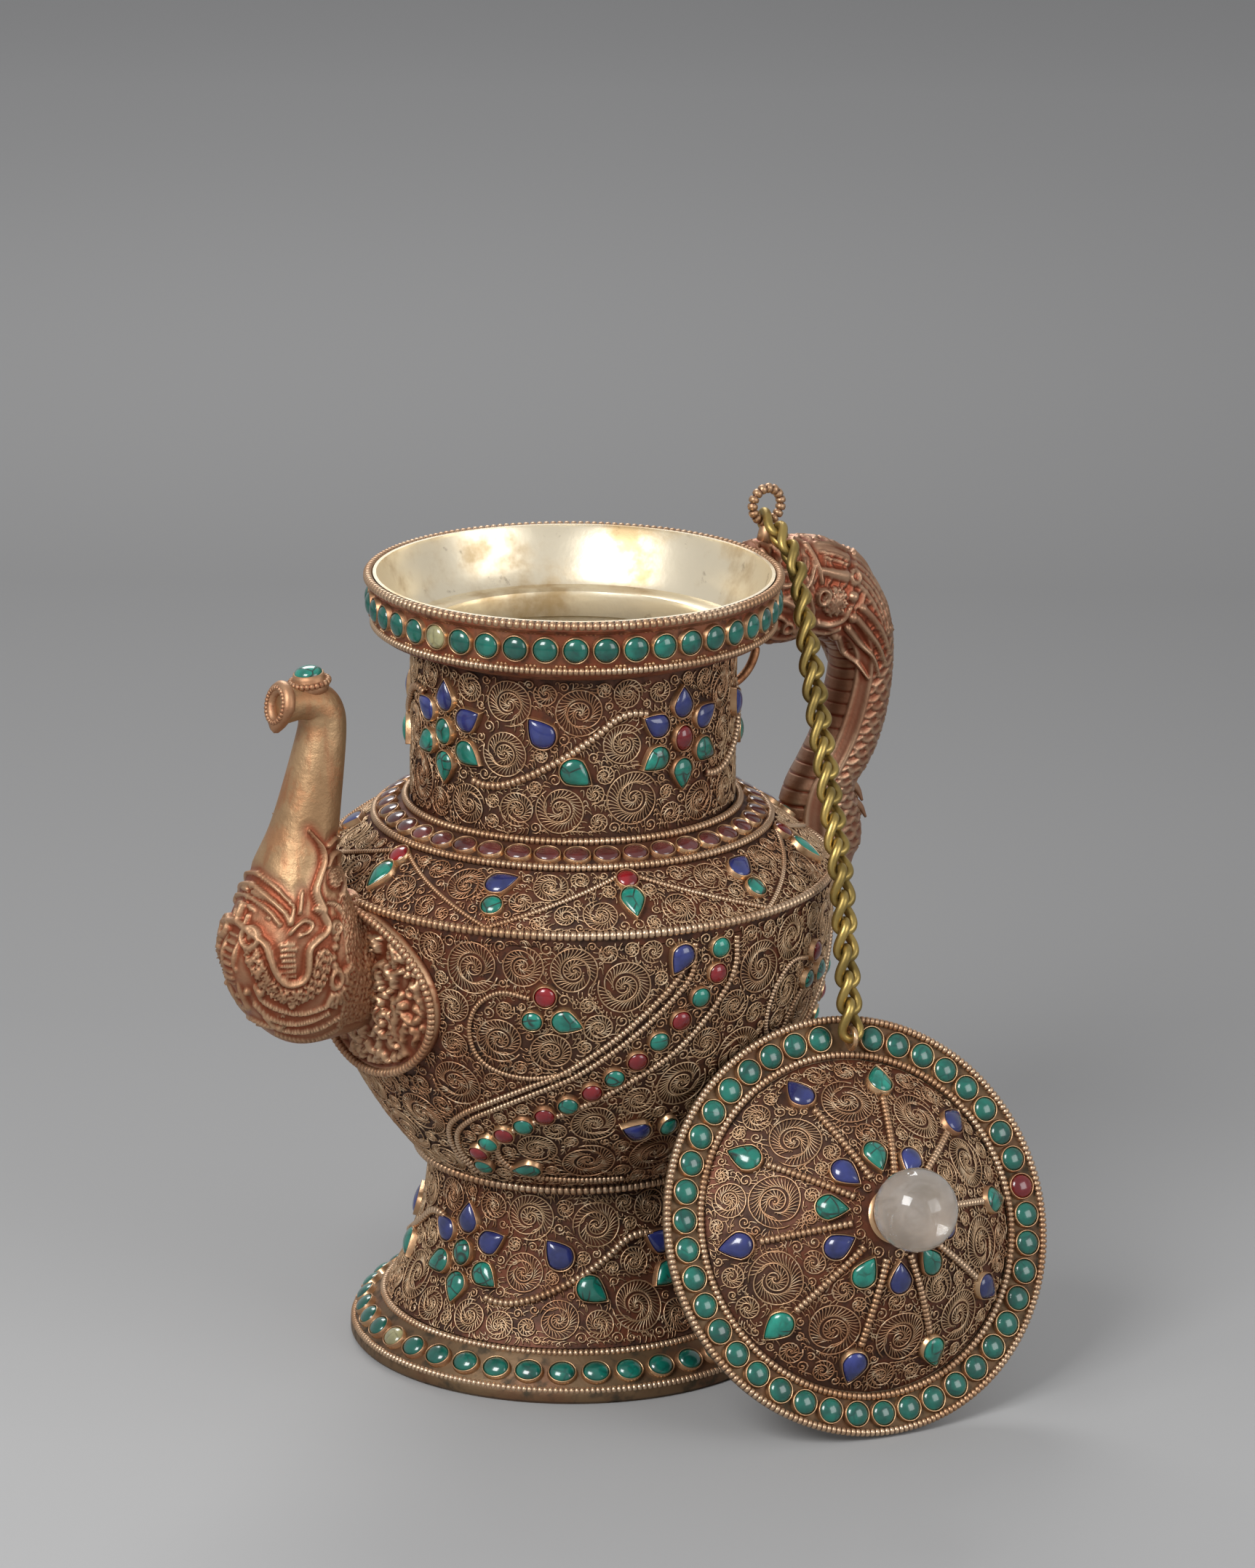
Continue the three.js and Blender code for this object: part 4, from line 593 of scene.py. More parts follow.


# Aged metals. First the noise of the patches (scale, detail, roughness) and the span that turns it into the mix of
# a light and a dark colour. Then a layer on top: its noise, span, strength and colour. Then the span of the piece's
# wear value and the colour of its crevices, which is red copper patina on the chased pieces and painted
# shade between the beads. Then the bump's noise, distance and strength. Then metallic, and the roughness: its gain,
# its least value, and whether it follows the patches or the layer
METALS = {
    # Beaded wire: pale, slightly pink silver gilt on its heights, with dark brown painted shade in the pinches
    # between the beads
    "bead_wire": (
        (24, 3, 0.55, 0.36, 0.64), (0.6, 0.43, 0.285), (0.42, 0.245, 0.135), None,
        (0.1, 0.9, (0.1, 0.04, 0.022)), None, 0.85, (0.1, 0.33, "patches")),
    # Chased work of the dragons: rubbed tan gilding on the heights, red copper in the crevices
    "chased_copper": (
        (42, 5, 0.6, 0.36, 0.66), (0.5, 0.315, 0.185), (0.37, 0.19, 0.1),
        (300, 3, 0.55, 0.56, 0.74, 1, (0.22, 0.09, 0.045)),
        (0.0, 0.95, (0.2, 0.055, 0.024)), (520, 4, 0.6, 0.00025, 0.5), 0.75, (0.12, 0.4, "patches")),
    # The handle's dragon: browner than the spout, and darker as painted shade of its side away from the light
    "worn_handle": (
        (40, 5, 0.6, 0.36, 0.66), (0.47, 0.3, 0.19), (0.33, 0.165, 0.095), None,
        (0.0, 0.95, (0.21, 0.05, 0.022)), (520, 4, 0.6, 0.00025, 0.5), 0.8, (0.12, 0.36, "patches")),
    # Sheet under the filigree: copper darkened as painted shade of the recesses under the wires, with brown grime in
    # patches
    "filigree_bed": (
        (34, 4, 0.55, 0.35, 0.68), "copper", (0.07, 0.032, 0.018), (190, 4, 0.55, 0.4, 0.7, 1, (0.04, 0.019, 0.012)),
        None, (700, 4, 0.55, 0.0002, 0.6), 0.55, (0.2, 0.55, "layer")),
    # Cast copper: satin gold on the heights, red-brown patina in patches
    "cast_gilt": (
        (46, 5, 0.6, 0.36, 0.66), (0.62, 0.37, 0.2), (0.4, 0.17, 0.075),
        (260, 4, 0.55, 0.5, 0.72, 1, (0.22, 0.09, 0.04)),
        None, (480, 5, 0.6, 0.0004, 0.55), 0.85, (0.12, 0.36, "patches")),
    # Plain gilt sheet of the collets, the cup and the eyelet
    "smooth_gilt": (
        (38, 5, 0.6, 0.4, 0.7), (0.56, 0.36, 0.2), (0.34, 0.17, 0.09), None,
        None, (320, 4, 0.55, 0.0003, 0.4), 0.9, (0.15, 0.3, "patches")),
    # Sheet between the set stones: rubbed red-brown copper with remains of gilding
    "ground_gilt": (
        (60, 5, 0.6, 0.42, 0.68), (0.22, 0.06, 0.026), (0.27, 0.11, 0.055),
        (240, 4, 0.55, 0.45, 0.7, 1, (0.09, 0.034, 0.018)),
        None, (420, 4, 0.55, 0.0003, 0.4), 0.5, (0.15, 0.5, "layer")),
    # Sheet of the foot and of the lid's flange: brown and olive with handling
    "grimed_ground": (
        (60, 5, 0.6, 0.42, 0.68), (0.14, 0.085, 0.042), (0.12, 0.055, 0.026),
        (240, 4, 0.55, 0.45, 0.7, 1, (0.05, 0.036, 0.02)),
        None, (420, 4, 0.55, 0.0003, 0.4), 0.6, (0.15, 0.48, "layer")),
    # The polished dish inside the rim: a pale silver gold with faint stains
    "pale_dish": (
        (45, 5, 0.6, 0.46, 0.7), (0.84, 0.75, 0.57), (0.5, 0.36, 0.19),
        (130, 5, 0.65, 0.62, 0.76, 0.7, (0.2, 0.12, 0.06)),
        None, (300, 4, 0.55, 0.0002, 0.3), 0.8, (0.15, 0.3, "patches")),
}


def aged(name, light):
    """An aged metal from its row in METALS, with the light colour given"""
    patches, _, dark, layer, crevice, bump, metallic, (gain, least, follows) = METALS[name]
    tree = Tree(name)
    source = tree.noise(*patches[:3]).between(*patches[3:])
    base = tree.mix(source, light, dark)
    if layer:
        over = tree.noise(*layer[:3]).between(*layer[3:5])
        base = tree.mix(over * layer[5], base, layer[6])
        source = over if follows == "layer" else source
    # Crevices: red copper patina on the chased pieces, painted shade between the beads
    if crevice:
        base = tree.mix(tree.wear().between(*crevice[:2]), crevice[2], base)
    if bump:
        tree.bump(tree.noise(*bump[:3]), *bump[3:])
    return tree.set(Base_Color=base, Metallic=metallic, Roughness=source * gain + least)


def trunk_gold():
    """The smooth trunk: pale gold gone grey and olive in places, scratched along its length"""
    tree = Tree("trunk_gold")
    patches = tree.noise(34, 5, 0.6).between(0.36, 0.66)
    scratches = tree.noise(90, 4, stretch=(3.0, 3.0, 0.35)).between(0.5, 0.75)
    base = tree.mix(patches, (0.45, 0.285, 0.15), (0.3, 0.175, 0.085))
    blotches = tree.noise(85, 5, 0.65).between(0.5, 0.62)
    base = tree.mix(blotches * 0.6, base, (0.42, 0.19, 0.085))
    base = tree.mix(scratches * 0.7, base, (0.34, 0.14, 0.062))
    heights = tree.mix(patches, (0.47, 0.285, 0.165), (0.35, 0.17, 0.085))
    chased = tree.mix(tree.wear().between(0.0, 0.95), (0.24, 0.06, 0.024), heights)
    smooth = tree.node("ShaderNodeAttribute", {"attribute_name": "smooth"}, {}, output=2)
    tree.bump(tree.noise(210, 6, 0.65), 0.0006, 0.8)
    return tree.set(Base_Color=tree.mix(smooth, chased, base), Metallic=0.7, Roughness=patches * 0.12 + 0.43)


def chain_brass(colours):
    tree = Tree("chain_brass")
    patches = tree.noise(90, 4).between(0.35, 0.7)
    base = tree.mix(patches, colours.brass, shade(colours.brass, 0.5))
    tree.bump(tree.noise(900, 3), 0.0001, 0.4)
    return tree.set(Base_Color=base, Metallic=0.9, Roughness=patches * 0.15 + 0.34)


def polished_stone(name, rgb, vein, vein_share, clear=0.0):
    """Polished cabochon: cloudy colour, with veins where the stone has them"""
    tree = Tree(name)
    cloud = tree.noise(170, 4).between(0.3, 0.72)
    base = tree.mix(cloud, shade(rgb, 0.55), shade(rgb, 1.5))
    base = tree.mix(tree.noise(38, 1).between(0.35, 0.65), base, tree.mix(0.5, base, shade(rgb, 0.5)))
    if vein_share:
        cracks = tree.node("ShaderNodeTexVoronoi", {"feature": "DISTANCE_TO_EDGE"}, {
            "Vector": tree.place, "Scale": 210.0})
        lines = 1 - cracks.between(0.0, 0.08)
        base = tree.mix(lines * tree.noise(95, 2).between(0.42, 0.56) * vein_share, base, vein)
    return tree.set(
        Base_Color=base, Roughness=0.2, Coat_Weight=0.6, Coat_Roughness=0.08, Subsurface_Weight=clear,
        Subsurface_Scale=0.002)


def crystal():
    """Rock crystal: clear, with cloudy veils and pale streaks, and painted shade round its edge where it turns away
    from the view
    """
    tree = Tree("rock_crystal")
    veil = tree.noise(95, 6, 0.7, distortion=1.2).between(0.42, 0.66)
    streaks = tree.noise(150, 5, 0.7, stretch=(1.0, 2.6, 0.7)).between(0.58, 0.68)
    edge = tree.node("ShaderNodeLayerWeight", {}, {"Blend": 0.5}, output="Facing").between(0.45, 0.95)
    base = tree.mix(veil, (0.96, 0.96, 0.94), (0.66, 0.65, 0.61))
    # Painted shade: the rim darkened by the facing angle
    base = tree.mix(edge * 0.75, base, (0.34, 0.33, 0.3))
    base = tree.mix(streaks * 0.8, base, (1.0, 0.99, 0.97))
    tree.bump(tree.noise(120, 3), 0.0003, 0.3)
    return tree.set(Base_Color=base, Roughness=veil * 0.14 + streaks * 0.2 + 0.03, Transmission_Weight=0.86, IOR=1.5)


# Materials by the short names that the pieces use
FINISH = {}


def make_finishes(colours):
    # The copper at 45 per cent: painted shade of the recesses under the filigree
    bed = shade(colours.copper, 0.45)
    metal = {name: aged(name, bed if row[1] == "copper" else row[1]) for name, row in METALS.items()}
    stone = polished_stone
    FINISH.update({
        "wire": gilt_wire(colours), "bead": metal["bead_wire"], "bed": metal["filigree_bed"],
        "cast": metal["cast_gilt"], "chased": metal["chased_copper"], "trunk": trunk_gold(),
        # The handle's finish is darkened as painted shade
        "worn": metal["worn_handle"],
        "smooth": metal["smooth_gilt"], "brass": chain_brass(colours), "ground": metal["ground_gilt"],
        "grimed": metal["grimed_ground"], "dish": metal["pale_dish"], "crystal": crystal(),
        "turquoise": stone("turquoise", colours.turquoise, (0.012, 0.02, 0.015), 1.0),
        "teal": stone("teal_turquoise", shade(colours.turquoise, 0.6), (0.006, 0.03, 0.03), 0.5),
        "lapis": stone("lapis", colours.lapis, (0.3, 0.28, 0.35), 0.0),
        "garnet": stone("garnet", colours.garnet, (0.05, 0, 0), 0.0, 0.2),
        "dull_garnet": stone("dull_garnet", (0.1, 0.022, 0.02), (0.05, 0, 0), 0.0, 0.1),
        "pale": stone("pale_stone", (0.3, 0.28, 0.14), (0.1, 0.08, 0.04), 0.5),
    })


# The CAD material that a finish stands for
SLOT_OF = {
    "wire": "gilt_copper", "bead": "gilt_copper", "bed": "gilt_copper", "cast": "cast_gilt", "smooth": "pale_gilt",
    "brass": "chain_brass", "teal": "turquoise_band",
    "turquoise": "turquoise_band", "lapis": "turquoise_band", "pale": "turquoise_band", "garnet": "garnet_band",
    "crystal": "rock_crystal", "dull_garnet": "garnet_band", "ground": "turquoise_band", "grimed": "turquoise_band",
    "dish": "pale_gilt",
}


# Modelled once and copied: scrolls, stones and their settings

# Scrolls by their least size: the spiral's knots, in turns and share of the reach, and its combs of teeth, each from
# one turn to another with the teeth's depth
SCROLL_FORMS = (
    (4.4, ((0, 0.99), (0.5, 0.98), (0.86, 0.92), (1.1, 0.68), (1.4, 0.5), (1.8, 0.4), (2.2, 0.26), (2.5, 0.1)),
     ((0.04, 1.0, 0.42), (1.2, 2.1, 0.32))),
    (2.3, ((0, 0.98), (0.5, 0.95), (0.86, 0.78), (1.2, 0.5), (1.6, 0.3), (2.0, 0.12)), ((0.05, 1.1, 0.5),)),
    (0.0, ((0, 0.97), (0.5, 0.86), (0.9, 0.55), (1.3, 0.2)), ()),
)


def scroll(size, wire, pitch):
    """A fern scroll: a spiral wire whose turns are lined on the inside with hooked teeth"""
    gathered = Gathered()
    rim = size - wire / 2
    knots, combs = next((knots, combs) for least, knots, combs in SCROLL_FORMS if size > least)
    line = resampled([(turn * 6, reach * 6) for turn, reach in knots], 0.16 * 6 / max(size, 3) * 2) / 6
    turns, reaches = line[:, 0], line[:, 1] * rim
    lift = np.full(len(line), wire * 0.9)
    spiral = np.stack([reaches * np.cos(TAU * turns), reaches * np.sin(TAU * turns), lift], 1)
    gathered.add(tube(spiral, wire / 2, 4, up=(0, 0, 1)))
    for start, end, depth in combs:
        place = start
        while place < end:
            reach = np.interp(place, turns, reaches)
            gathered.add(tooth(place * TAU, reach, depth * size, wire))
            place += pitch / reach / TAU
    gathered.add(bead_shape(0, 0, wire * 1.3))
    return gathered.shape()


def tooth(angle, reach, depth, wire):
    """One hook: it leaves the spiral inwards, leans over and curls back at its tip"""
    depth = min(depth, reach * 0.8)
    inward = reach - depth * np.array([0.0, 0.35, 0.7, 0.94, 0.98, 0.84])
    sideways = depth * np.array([0.0, 0.1, 0.34, 0.68, 0.98, 1.06])
    turns = angle + sideways / np.maximum((inward + reach) / 2, depth * 0.7)
    path = np.stack([inward * np.cos(turns), inward * np.sin(turns), np.full(6, wire * 0.7)], 1)
    return tube(path, wire * 0.46, 3, up=(0, 0, 1))


def comma(length, wire):
    """A short hooked wire that fills a gap between scrolls"""
    turns = np.linspace(0, 3.6, 6)
    curl = np.stack([0.26 * np.cos(turns), 0.26 * np.sin(turns) + 0.42], 1) * length
    path = np.vstack([[(0.3 * length, -0.5 * length), (0.34 * length, -0.05 * length)], curl])
    return tube(np.column_stack([path, np.full(len(path), wire * 0.7)]), wire * 0.46, 3, up=(0, 0, 1))


def bead_shape(x, y, radius):
    turns = np.arange(6) * TAU / 6
    ring = np.stack([x + radius * np.cos(turns), y + radius * np.sin(turns), np.zeros(6)], 1)
    points = np.vstack([ring, [[x, y, radius]]])
    return Shape(points, [[(i, (i + 1) % 6, 6) for i in range(6)], [range(5, -1, -1)]])


def cabochon_shape(segments=20, rings=6):
    """A low polished dome of unit radius, modelled from a sphere whose lower half is cut away"""
    clear_selection()
    bpy.ops.mesh.primitive_uv_sphere_add(segments=segments, ring_count=rings * 2, radius=MM)
    bpy.ops.object.mode_set(mode="EDIT")
    bpy.ops.mesh.select_all(action="SELECT")
    bpy.ops.mesh.bisect(plane_co=(0, 0, 0), plane_no=(0, 0, 1), clear_inner=True, use_fill=True)
    select_where(lambda centre, normal: normal.z < -0.9)
    bpy.ops.mesh.extrude_region_move(TRANSFORM_OT_translate={"value": (0, 0, -MM / 2)})
    bpy.ops.object.mode_set(mode="OBJECT")
    return taken(bpy.context.object)


def collet_shape(sides=28):
    """A thin round wall of unit inner radius and unit height, flared at its foot"""
    outline = [(1.0, -0.3), (1.0, 0.92), (1.05, 1.0), (1.1, 0.92), (1.1, 0.2), (1.17, 0.0), (1.17, -0.3)]
    return taken(spun(outline, sides, closed=True))


def to_drop(shape, tip=1.42):
    """Draws a round form out to a point along +Y"""
    x, y, z = shape.points.T
    up = np.clip(y, 0, 1.2)
    pinch = np.sqrt(np.clip(1 - up * 0.94, 0.02, 1))
    return Shape(np.stack([x * pinch, np.where(y > 0, y * tip, y), z], 1), shape.blocks)


# Shapes that repeat, modelled once, by name or by a scroll's size
MASTER = {}
SCROLL_SIZES = (8.2, 7.2, 6.3, 5.4, 4.6, 3.8, 3.1, 2.5, 2.0, 1.6)


def make_masters(sizes):
    wire = sizes.scroll_wire / MM
    dome, wall = cabochon_shape(), collet_shape()
    MASTER.update({
        "dome": dome, "wall": wall, "low_dome": cabochon_shape(8, 3),
        "drop": to_drop(dome), "drop_wall": to_drop(wall), "comma": comma(1.9, wire),
    })
    for size in SCROLL_SIZES:
        MASTER[size] = scroll(size, wire, sizes.tooth_pitch / MM)


class Region:
    """What is laid on one part of the ewer, gathered by finish, with the places that are taken"""

    def __init__(self, name, body="ewer"):
        self.name, self.body = name, body
        self.gathered = {}
        self.taken = []

    def add(self, finish, shape):
        self.gathered.setdefault(finish, []).append(shape)

    def take(self, point, radius):
        self.taken.append((*point, radius))

    def stone(self, surface, turn, run, finish, width, length=None, rise=2.4, spin=0.0, kind="dome", wall=1.7):
        """A cabochon in its collet; a drop's point turns with the spin"""
        length = length or width
        dome, collet = MASTER[kind], MASTER["wall" if kind == "dome" else "drop_wall"]
        collet = collet.scaled(width / 2, length / 2, wall)
        dome = dome.scaled(width / 2 * 0.97, length / 2 * 0.97, rise - wall * 0.6)
        self.add("smooth", surface.stand(collet, turn, run, spin))
        self.add(finish, surface.stand(dome, turn, run, spin, wall * 0.6))
        reach = max(width, length) / 2 * 1.12
        offset = length * 0.12 if kind == "drop" else 0
        x, y = -offset * math.sin(spin), offset * math.cos(spin)
        self.take(surface.at(turn + x / surface.radius(run), run + y), reach)

    def wire(self, surface, places, thickness, pitch, loop=False, lift=0.3):
        """Beaded wire through places on a surface, given as turn and run"""
        places = resampled(np.asarray(places, float) * (40.0, 1.0), thickness * 0.6, loop) / (40.0, 1.0)
        path = surface.at(places[:, 0], places[:, 1], thickness * lift)
        self.add("bead", beaded(path, thickness, pitch * thickness, loop, sides=6))
        for point in path:
            self.take(point, thickness * 0.5)

    def finish(self):
        """Makes one object of each finish, or several where there is much of it"""
        for finish, shapes in self.gathered.items():
            parts, part = [], Gathered()
            for shape in shapes:
                if part.count > 80000:
                    parts.append(part)
                    part = Gathered()
                part.add(shape)
            for number, part in enumerate([*parts, part], 1):
                obj = piece(f"{self.name}_{finish}_{number}", part.shape(), FINISH[finish])
                ridden(obj, self.body, SLOT_OF[finish])


def pack_scrolls(region, surface, seed, low=0.5, high=0.5, largest=8.2):
    """Fills the free places of a surface with scrolls, the largest first, and its last gaps with commas"""
    rng = np.random.RandomState(seed)
    places = np.array(region.taken) if region.taken else np.zeros((0, 4))
    widest = surface.outline[:, 0].max()
    area = widest * TAU * surface.length
    for size in (size for size in SCROLL_SIZES if size <= largest):
        count = int(area / size**2 * 9)
        first, last = low + size, surface.length - high - size
        turns, runs = rng.uniform(0, TAU, count), rng.uniform(first, max(first, last), count)
        if first > last:
            continue
        keep = rng.uniform(0, widest, count) < surface.radius(runs)
        turns, runs = turns[keep], runs[keep]
        points = surface.at(turns, runs)
        free = clear_of(points, places, size * 0.97)
        chosen = []
        for turn, run, point in zip(turns[free], runs[free], points[free]):
            if chosen and np.linalg.norm(np.array(chosen) - point, axis=1).min() < size * 1.95:
                continue
            chosen.append(point)
            master = MASTER[size].mirrored() if rng.uniform() < 0.5 else MASTER[size]
            region.add("wire", surface.lay(master, turn, run, rng.uniform(0, TAU), rng.uniform(0.97, 1.0)))
        if chosen:
            places = np.vstack([places, np.column_stack([chosen, np.full(len(chosen), size * 0.97)])])
    fill_commas(region, surface, places, rng, low, high)


def clear_of(points, places, reach):
    """Which points keep their reach clear of the taken places"""
    free = np.ones(len(points), bool)
    for start in range(0, len(points), 500):
        block = points[start:start + 500]
        if len(places):
            gaps = np.linalg.norm(block[:, None] - places[None, :, :3], axis=2) - places[None, :, 3]
            free[start:start + 500] = gaps.min(1) > reach
    return free


def fill_commas(region, surface, places, rng, low, high):
    """Short hooks on an even grid wherever no scroll, stone or wire lies"""
    for run in np.arange(low + 0.7, surface.length - high - 0.6, 1.45):
        count = int(surface.radius(run) * TAU / 1.25)
        turns = np.arange(count) * TAU / count + rng.uniform(0, 0.02, count)
        runs = np.clip(run + rng.uniform(-0.25, 0.25, count), low, surface.length - high)
        free = clear_of(surface.at(turns, runs), places, 0.25)
        swirl = 1.7 * np.sin(3 * turns + 0.11 * runs) + 1.9 * np.sin(0.16 * runs + 5 * turns)
        swirl += rng.uniform(-0.5, 0.5, count)
        for turn, place, spin in zip(turns[free], runs[free], swirl[free]):
            region.add("wire", surface.lay(MASTER["comma"], turn, place, spin))


def alpha(degrees):
    """Angle round the axis, from degrees to the right of the side that faces the camera"""
    return FACING + math.radians(degrees)


class EWER_OT_sheets(bpy.types.Operator):
    """Turns the plain sheet bodies: pedestal, bowl, shoulder, neck, its lining and the dish"""

    bl_idname = "ewer.sheets"
    bl_label = "Turned sheets"

    def execute(self, context):
        inner = NECK_RADIUS - SHEET
        neck = [(inner, 159.4), (NECK_RADIUS, 159.4), (NECK_RADIUS, NECK_TOP), (inner, NECK_TOP)]
        lining = [(45.3, 159.8), (45.3, 207.5), (45.1, 207.5), (45.1, 159.8)]
        for name, walls, finish, node in (
                ("pedestal_sheet", pedestal_walls(), "bed", "pedestal"),
                ("bowl_sheet", bowl_walls(), "bed", "belly_bowl"),
                ("shoulder_sheet", shoulder_walls(), "bed", "shoulder"), ("neck_sheet", neck, "bed", "neck"),
                ("neck_lining", lining, "dish", None), ("dish_sheet", DISH_WALLS, "dish", "rim_dish")):
            obj = spun(walls, closed=walls[0][0] > 0)
            dressed(obj, name, FINISH[finish], "ewer", SLOT_OF[finish], [node] if node else ())
        return {"FINISHED"}


def pedestal_walls():
    heights = np.linspace(FOOT_INNER_HEIGHT + 0.3, WAIST_HEIGHT - 0.3, 14)
    outside = [(pedestal_radius(h), h) for h in heights]
    return outside + [(radius - SHEET, height) for radius, height in reversed(outside)]


def bowl_walls():
    heights = np.linspace(62.8, 142.0, 22)
    outside = [(belly_radius(h), h) for h in heights]
    inside = [(radius - SHEET, height) for radius, height in reversed(outside)]
    waist = [(0, WAIST_HEIGHT), (WAIST_RADIUS, WAIST_HEIGHT), (belly_radius(59.2), 59.2)]
    return waist + outside + inside + [(WAIST_RADIUS - SHEET, WAIST_HEIGHT + SHEET), (0, WAIST_HEIGHT + SHEET)]


def shoulder_walls():
    outside = [tuple(p) for p in shoulder_outline()]
    inside = [(radius - SHEET, height - SHEET) for radius, height in reversed(outside)]
    edge = [(BELLY_RADIUS - SHEET, 142.3), (BELLY_RADIUS, 142.3)]
    return edge + outside + inside


DISH_WALLS = (
    (58.3, 232.5), (57.3, 232.5), (57.2, 231.6), (55.6, 227.4), (53.0, 220.8), (51.2, 217.2), (50.2, 216.0),
    (48.4, 215.7), (46.2, 215.9), (44.4, 215.2), (44.0, 213.8), (44.0, 207.8), (45.1, 207.8), (45.1, 214.8),
    (50.4, 214.8), (54.6, 223.4))


def bead_ring(region, radius, height, thickness, pitch):
    region.add("bead", beaded(circle(180, radius, height), thickness, pitch * thickness, loop=True))


# Stone bands: the sheet's finish, slot and solid, its walls, the slope that carries the stones, the beaded wires as
# radius and height, and the stones: how many, the first one's angle, the share of the slope, finish, width, length,
# rise and wall
BANDS = {
    "collar": (
        "ground", "turquoise_band", "rim_collar",
        ((47.2, 212.4), (57.2, 216.0), (58.2, 217.2), (58.2, 228.6), (59.4, 229.2), (60.5, 230.2), (60.6, 231.4),
         (59.9, 232.1), (59.2, 232.1), (55.0, 223.0), (51.0, 214.4), (47.2, 214.4)),
        ((COLLAR_RADIUS, 216.5), (COLLAR_RADIUS, 224.0), (COLLAR_RADIUS, 230.0)),
        ((COLLAR_RADIUS - 0.1, 218.0, "seam_bead", 1.0), (59.7, 231.5, "edge_bead", 1.1)),
        (43, 1.1, 7.8 / 13.5, "teal", None, None, 2.6, 1.5)),
    "garnet_band": (
        "bed", "garnet_band", "garnet_ring",
        ((58.3, 159.4), (58.4, 160.2), (56.4, 161.0), (50.2, 163.9), (48.8, 164.6), (47.2, 164.8), (47.2, 163.2),
         (54.9, 159.4)),
        ((58.3, 159.9), (56.0, 161.2), (53.0, 162.6), (49.9, 164.0)),
        ((58.0, 160.3, "seam_bead", 1.0), (48.9, 165.3, "seam_bead", 1.0)),
        (40, 2, 0.54, "dull_garnet", 7.1, 5.9, 2.0, 1.5)),
    "foot": (
        "grimed", "turquoise_band", "foot_ring",
        ((60.4, 0), (64.4, 0), (65.2, 0.9), (65.2, 3.0), (64.4, 4.4), (56.6, 11.2), (55.4, 12.6), (54.2, 12.9),
         (53.9, 11.6), (61.4, 3.6), (60.4, 1.8)),
        ((64.4, 4.4), (61.8, 6.7), (59.2, 8.9), (56.6, 11.2)),
        ((64.0, 3.9, "seam_bead", 1.0), (55.2, 12.2, "seam_bead", 1.0)),
        (39, -1.2, 0.5, "teal", 7.6, 6.4, 2.6, 1.7)),
}
SHEET_NAMES = {"collar": "collar_sheet", "garnet_band": "garnet_sheet", "foot": "foot_sheet"}
# The one pale stone of a band, counted from its first
PALE_STONES = {"collar": 38, "foot": 33}


class EWER_OT_bands(bpy.types.Operator):
    """Sets the rings of stones round the collar, the neck's base and the foot, between beaded wires"""

    bl_idname = "ewer.bands"
    bl_label = "Stone bands"

    def execute(self, context):
        for name, row in BANDS.items():
            build_band(name, context.scene.ewer_sizes, *row)
        return {"FINISHED"}


def build_band(name, sizes, finish, slot, node, walls, slope, wires, stones):
    region = Region(name)
    dressed(spun(walls, closed=True), SHEET_NAMES[name], FINISH[finish], "ewer", slot, [node])
    slope = Turned(slope)
    for radius, height, thickness, spread in wires:
        bead_ring(region, radius, height, getattr(sizes, thickness) / MM, sizes.bead_pitch * spread)
    count, first, share, finish, width, length, rise, wall = stones
    for i in range(count):
        chosen = "pale" if PALE_STONES.get(name) == i else finish
        turn, run = alpha(i * 360 / count + first), slope.length * share
        region.stone(slope, turn, run, chosen, width or sizes.round_stone / MM, length, rise=rise, wall=wall)
        if name == "collar":
            add_granules(region, slope, turn, TAU / count)
    region.finish()


def add_granules(region, band, turn, pitch):
    """Fine grains above and below the gap between two stones of the collar"""
    for step in (0.36, 0.5, 0.64):
        for height in (219.4, 229.0):
            granule = MASTER["low_dome"].scaled(0.55)
            region.add("smooth", band.stand(granule, turn + pitch * step, band.run_at(height)))


# Ornament on the neck and the pedestal: four flowers, and between them a drop above and one below a beaded vine.
# The vine's points are given in degrees past the flower and in height above its centre
FLOWER_VINE = (
    (12.5, -12.5), (17, -13.4), (25, -12.6), (36, -8.5), (48, -2.5), (58, 3.5), (64, 7.6), (70, 9.2), (76, 8.6))


def flower(region, surface, turn, run, centre):
    """Six drops that point away from a round stone"""
    for k in range(6):
        spin = math.radians(60 * k)
        x, y = math.sin(spin) * 9.8, math.cos(spin) * 9.8
        finish = "lapis" if k in (0, 1, 5) else "turquoise"
        place = turn + x / surface.radius(run + y)
        region.stone(surface, place, run + y, finish, 7.1, 7.6, 2.9, -spin, "drop", 2.0)
    region.stone(surface, turn, run, centre, 6.4, 7.6, rise=3.4, wall=2.4)


def flowered(region, surface, first, run, thickness, pitch, swing):
    for k in range(4):
        turn = alpha(first + 90 * k)
        flower(region, surface, turn, run, "garnet" if k % 2 else "turquoise")
        places = [(turn + math.radians(past), run + rise * swing) for past, rise in FLOWER_VINE]
        region.wire(surface, places, thickness, pitch)
        high, low = turn + math.radians(39), turn + math.radians(50)
        for place, lift, finish, spin in ((high, 3.4, "lapis", 0.7), (low, -7.4, "turquoise", -2.2)):
            region.stone(surface, place, run + lift * swing, finish, 8.0, 8.4, 2.9, spin, "drop", 1.9)


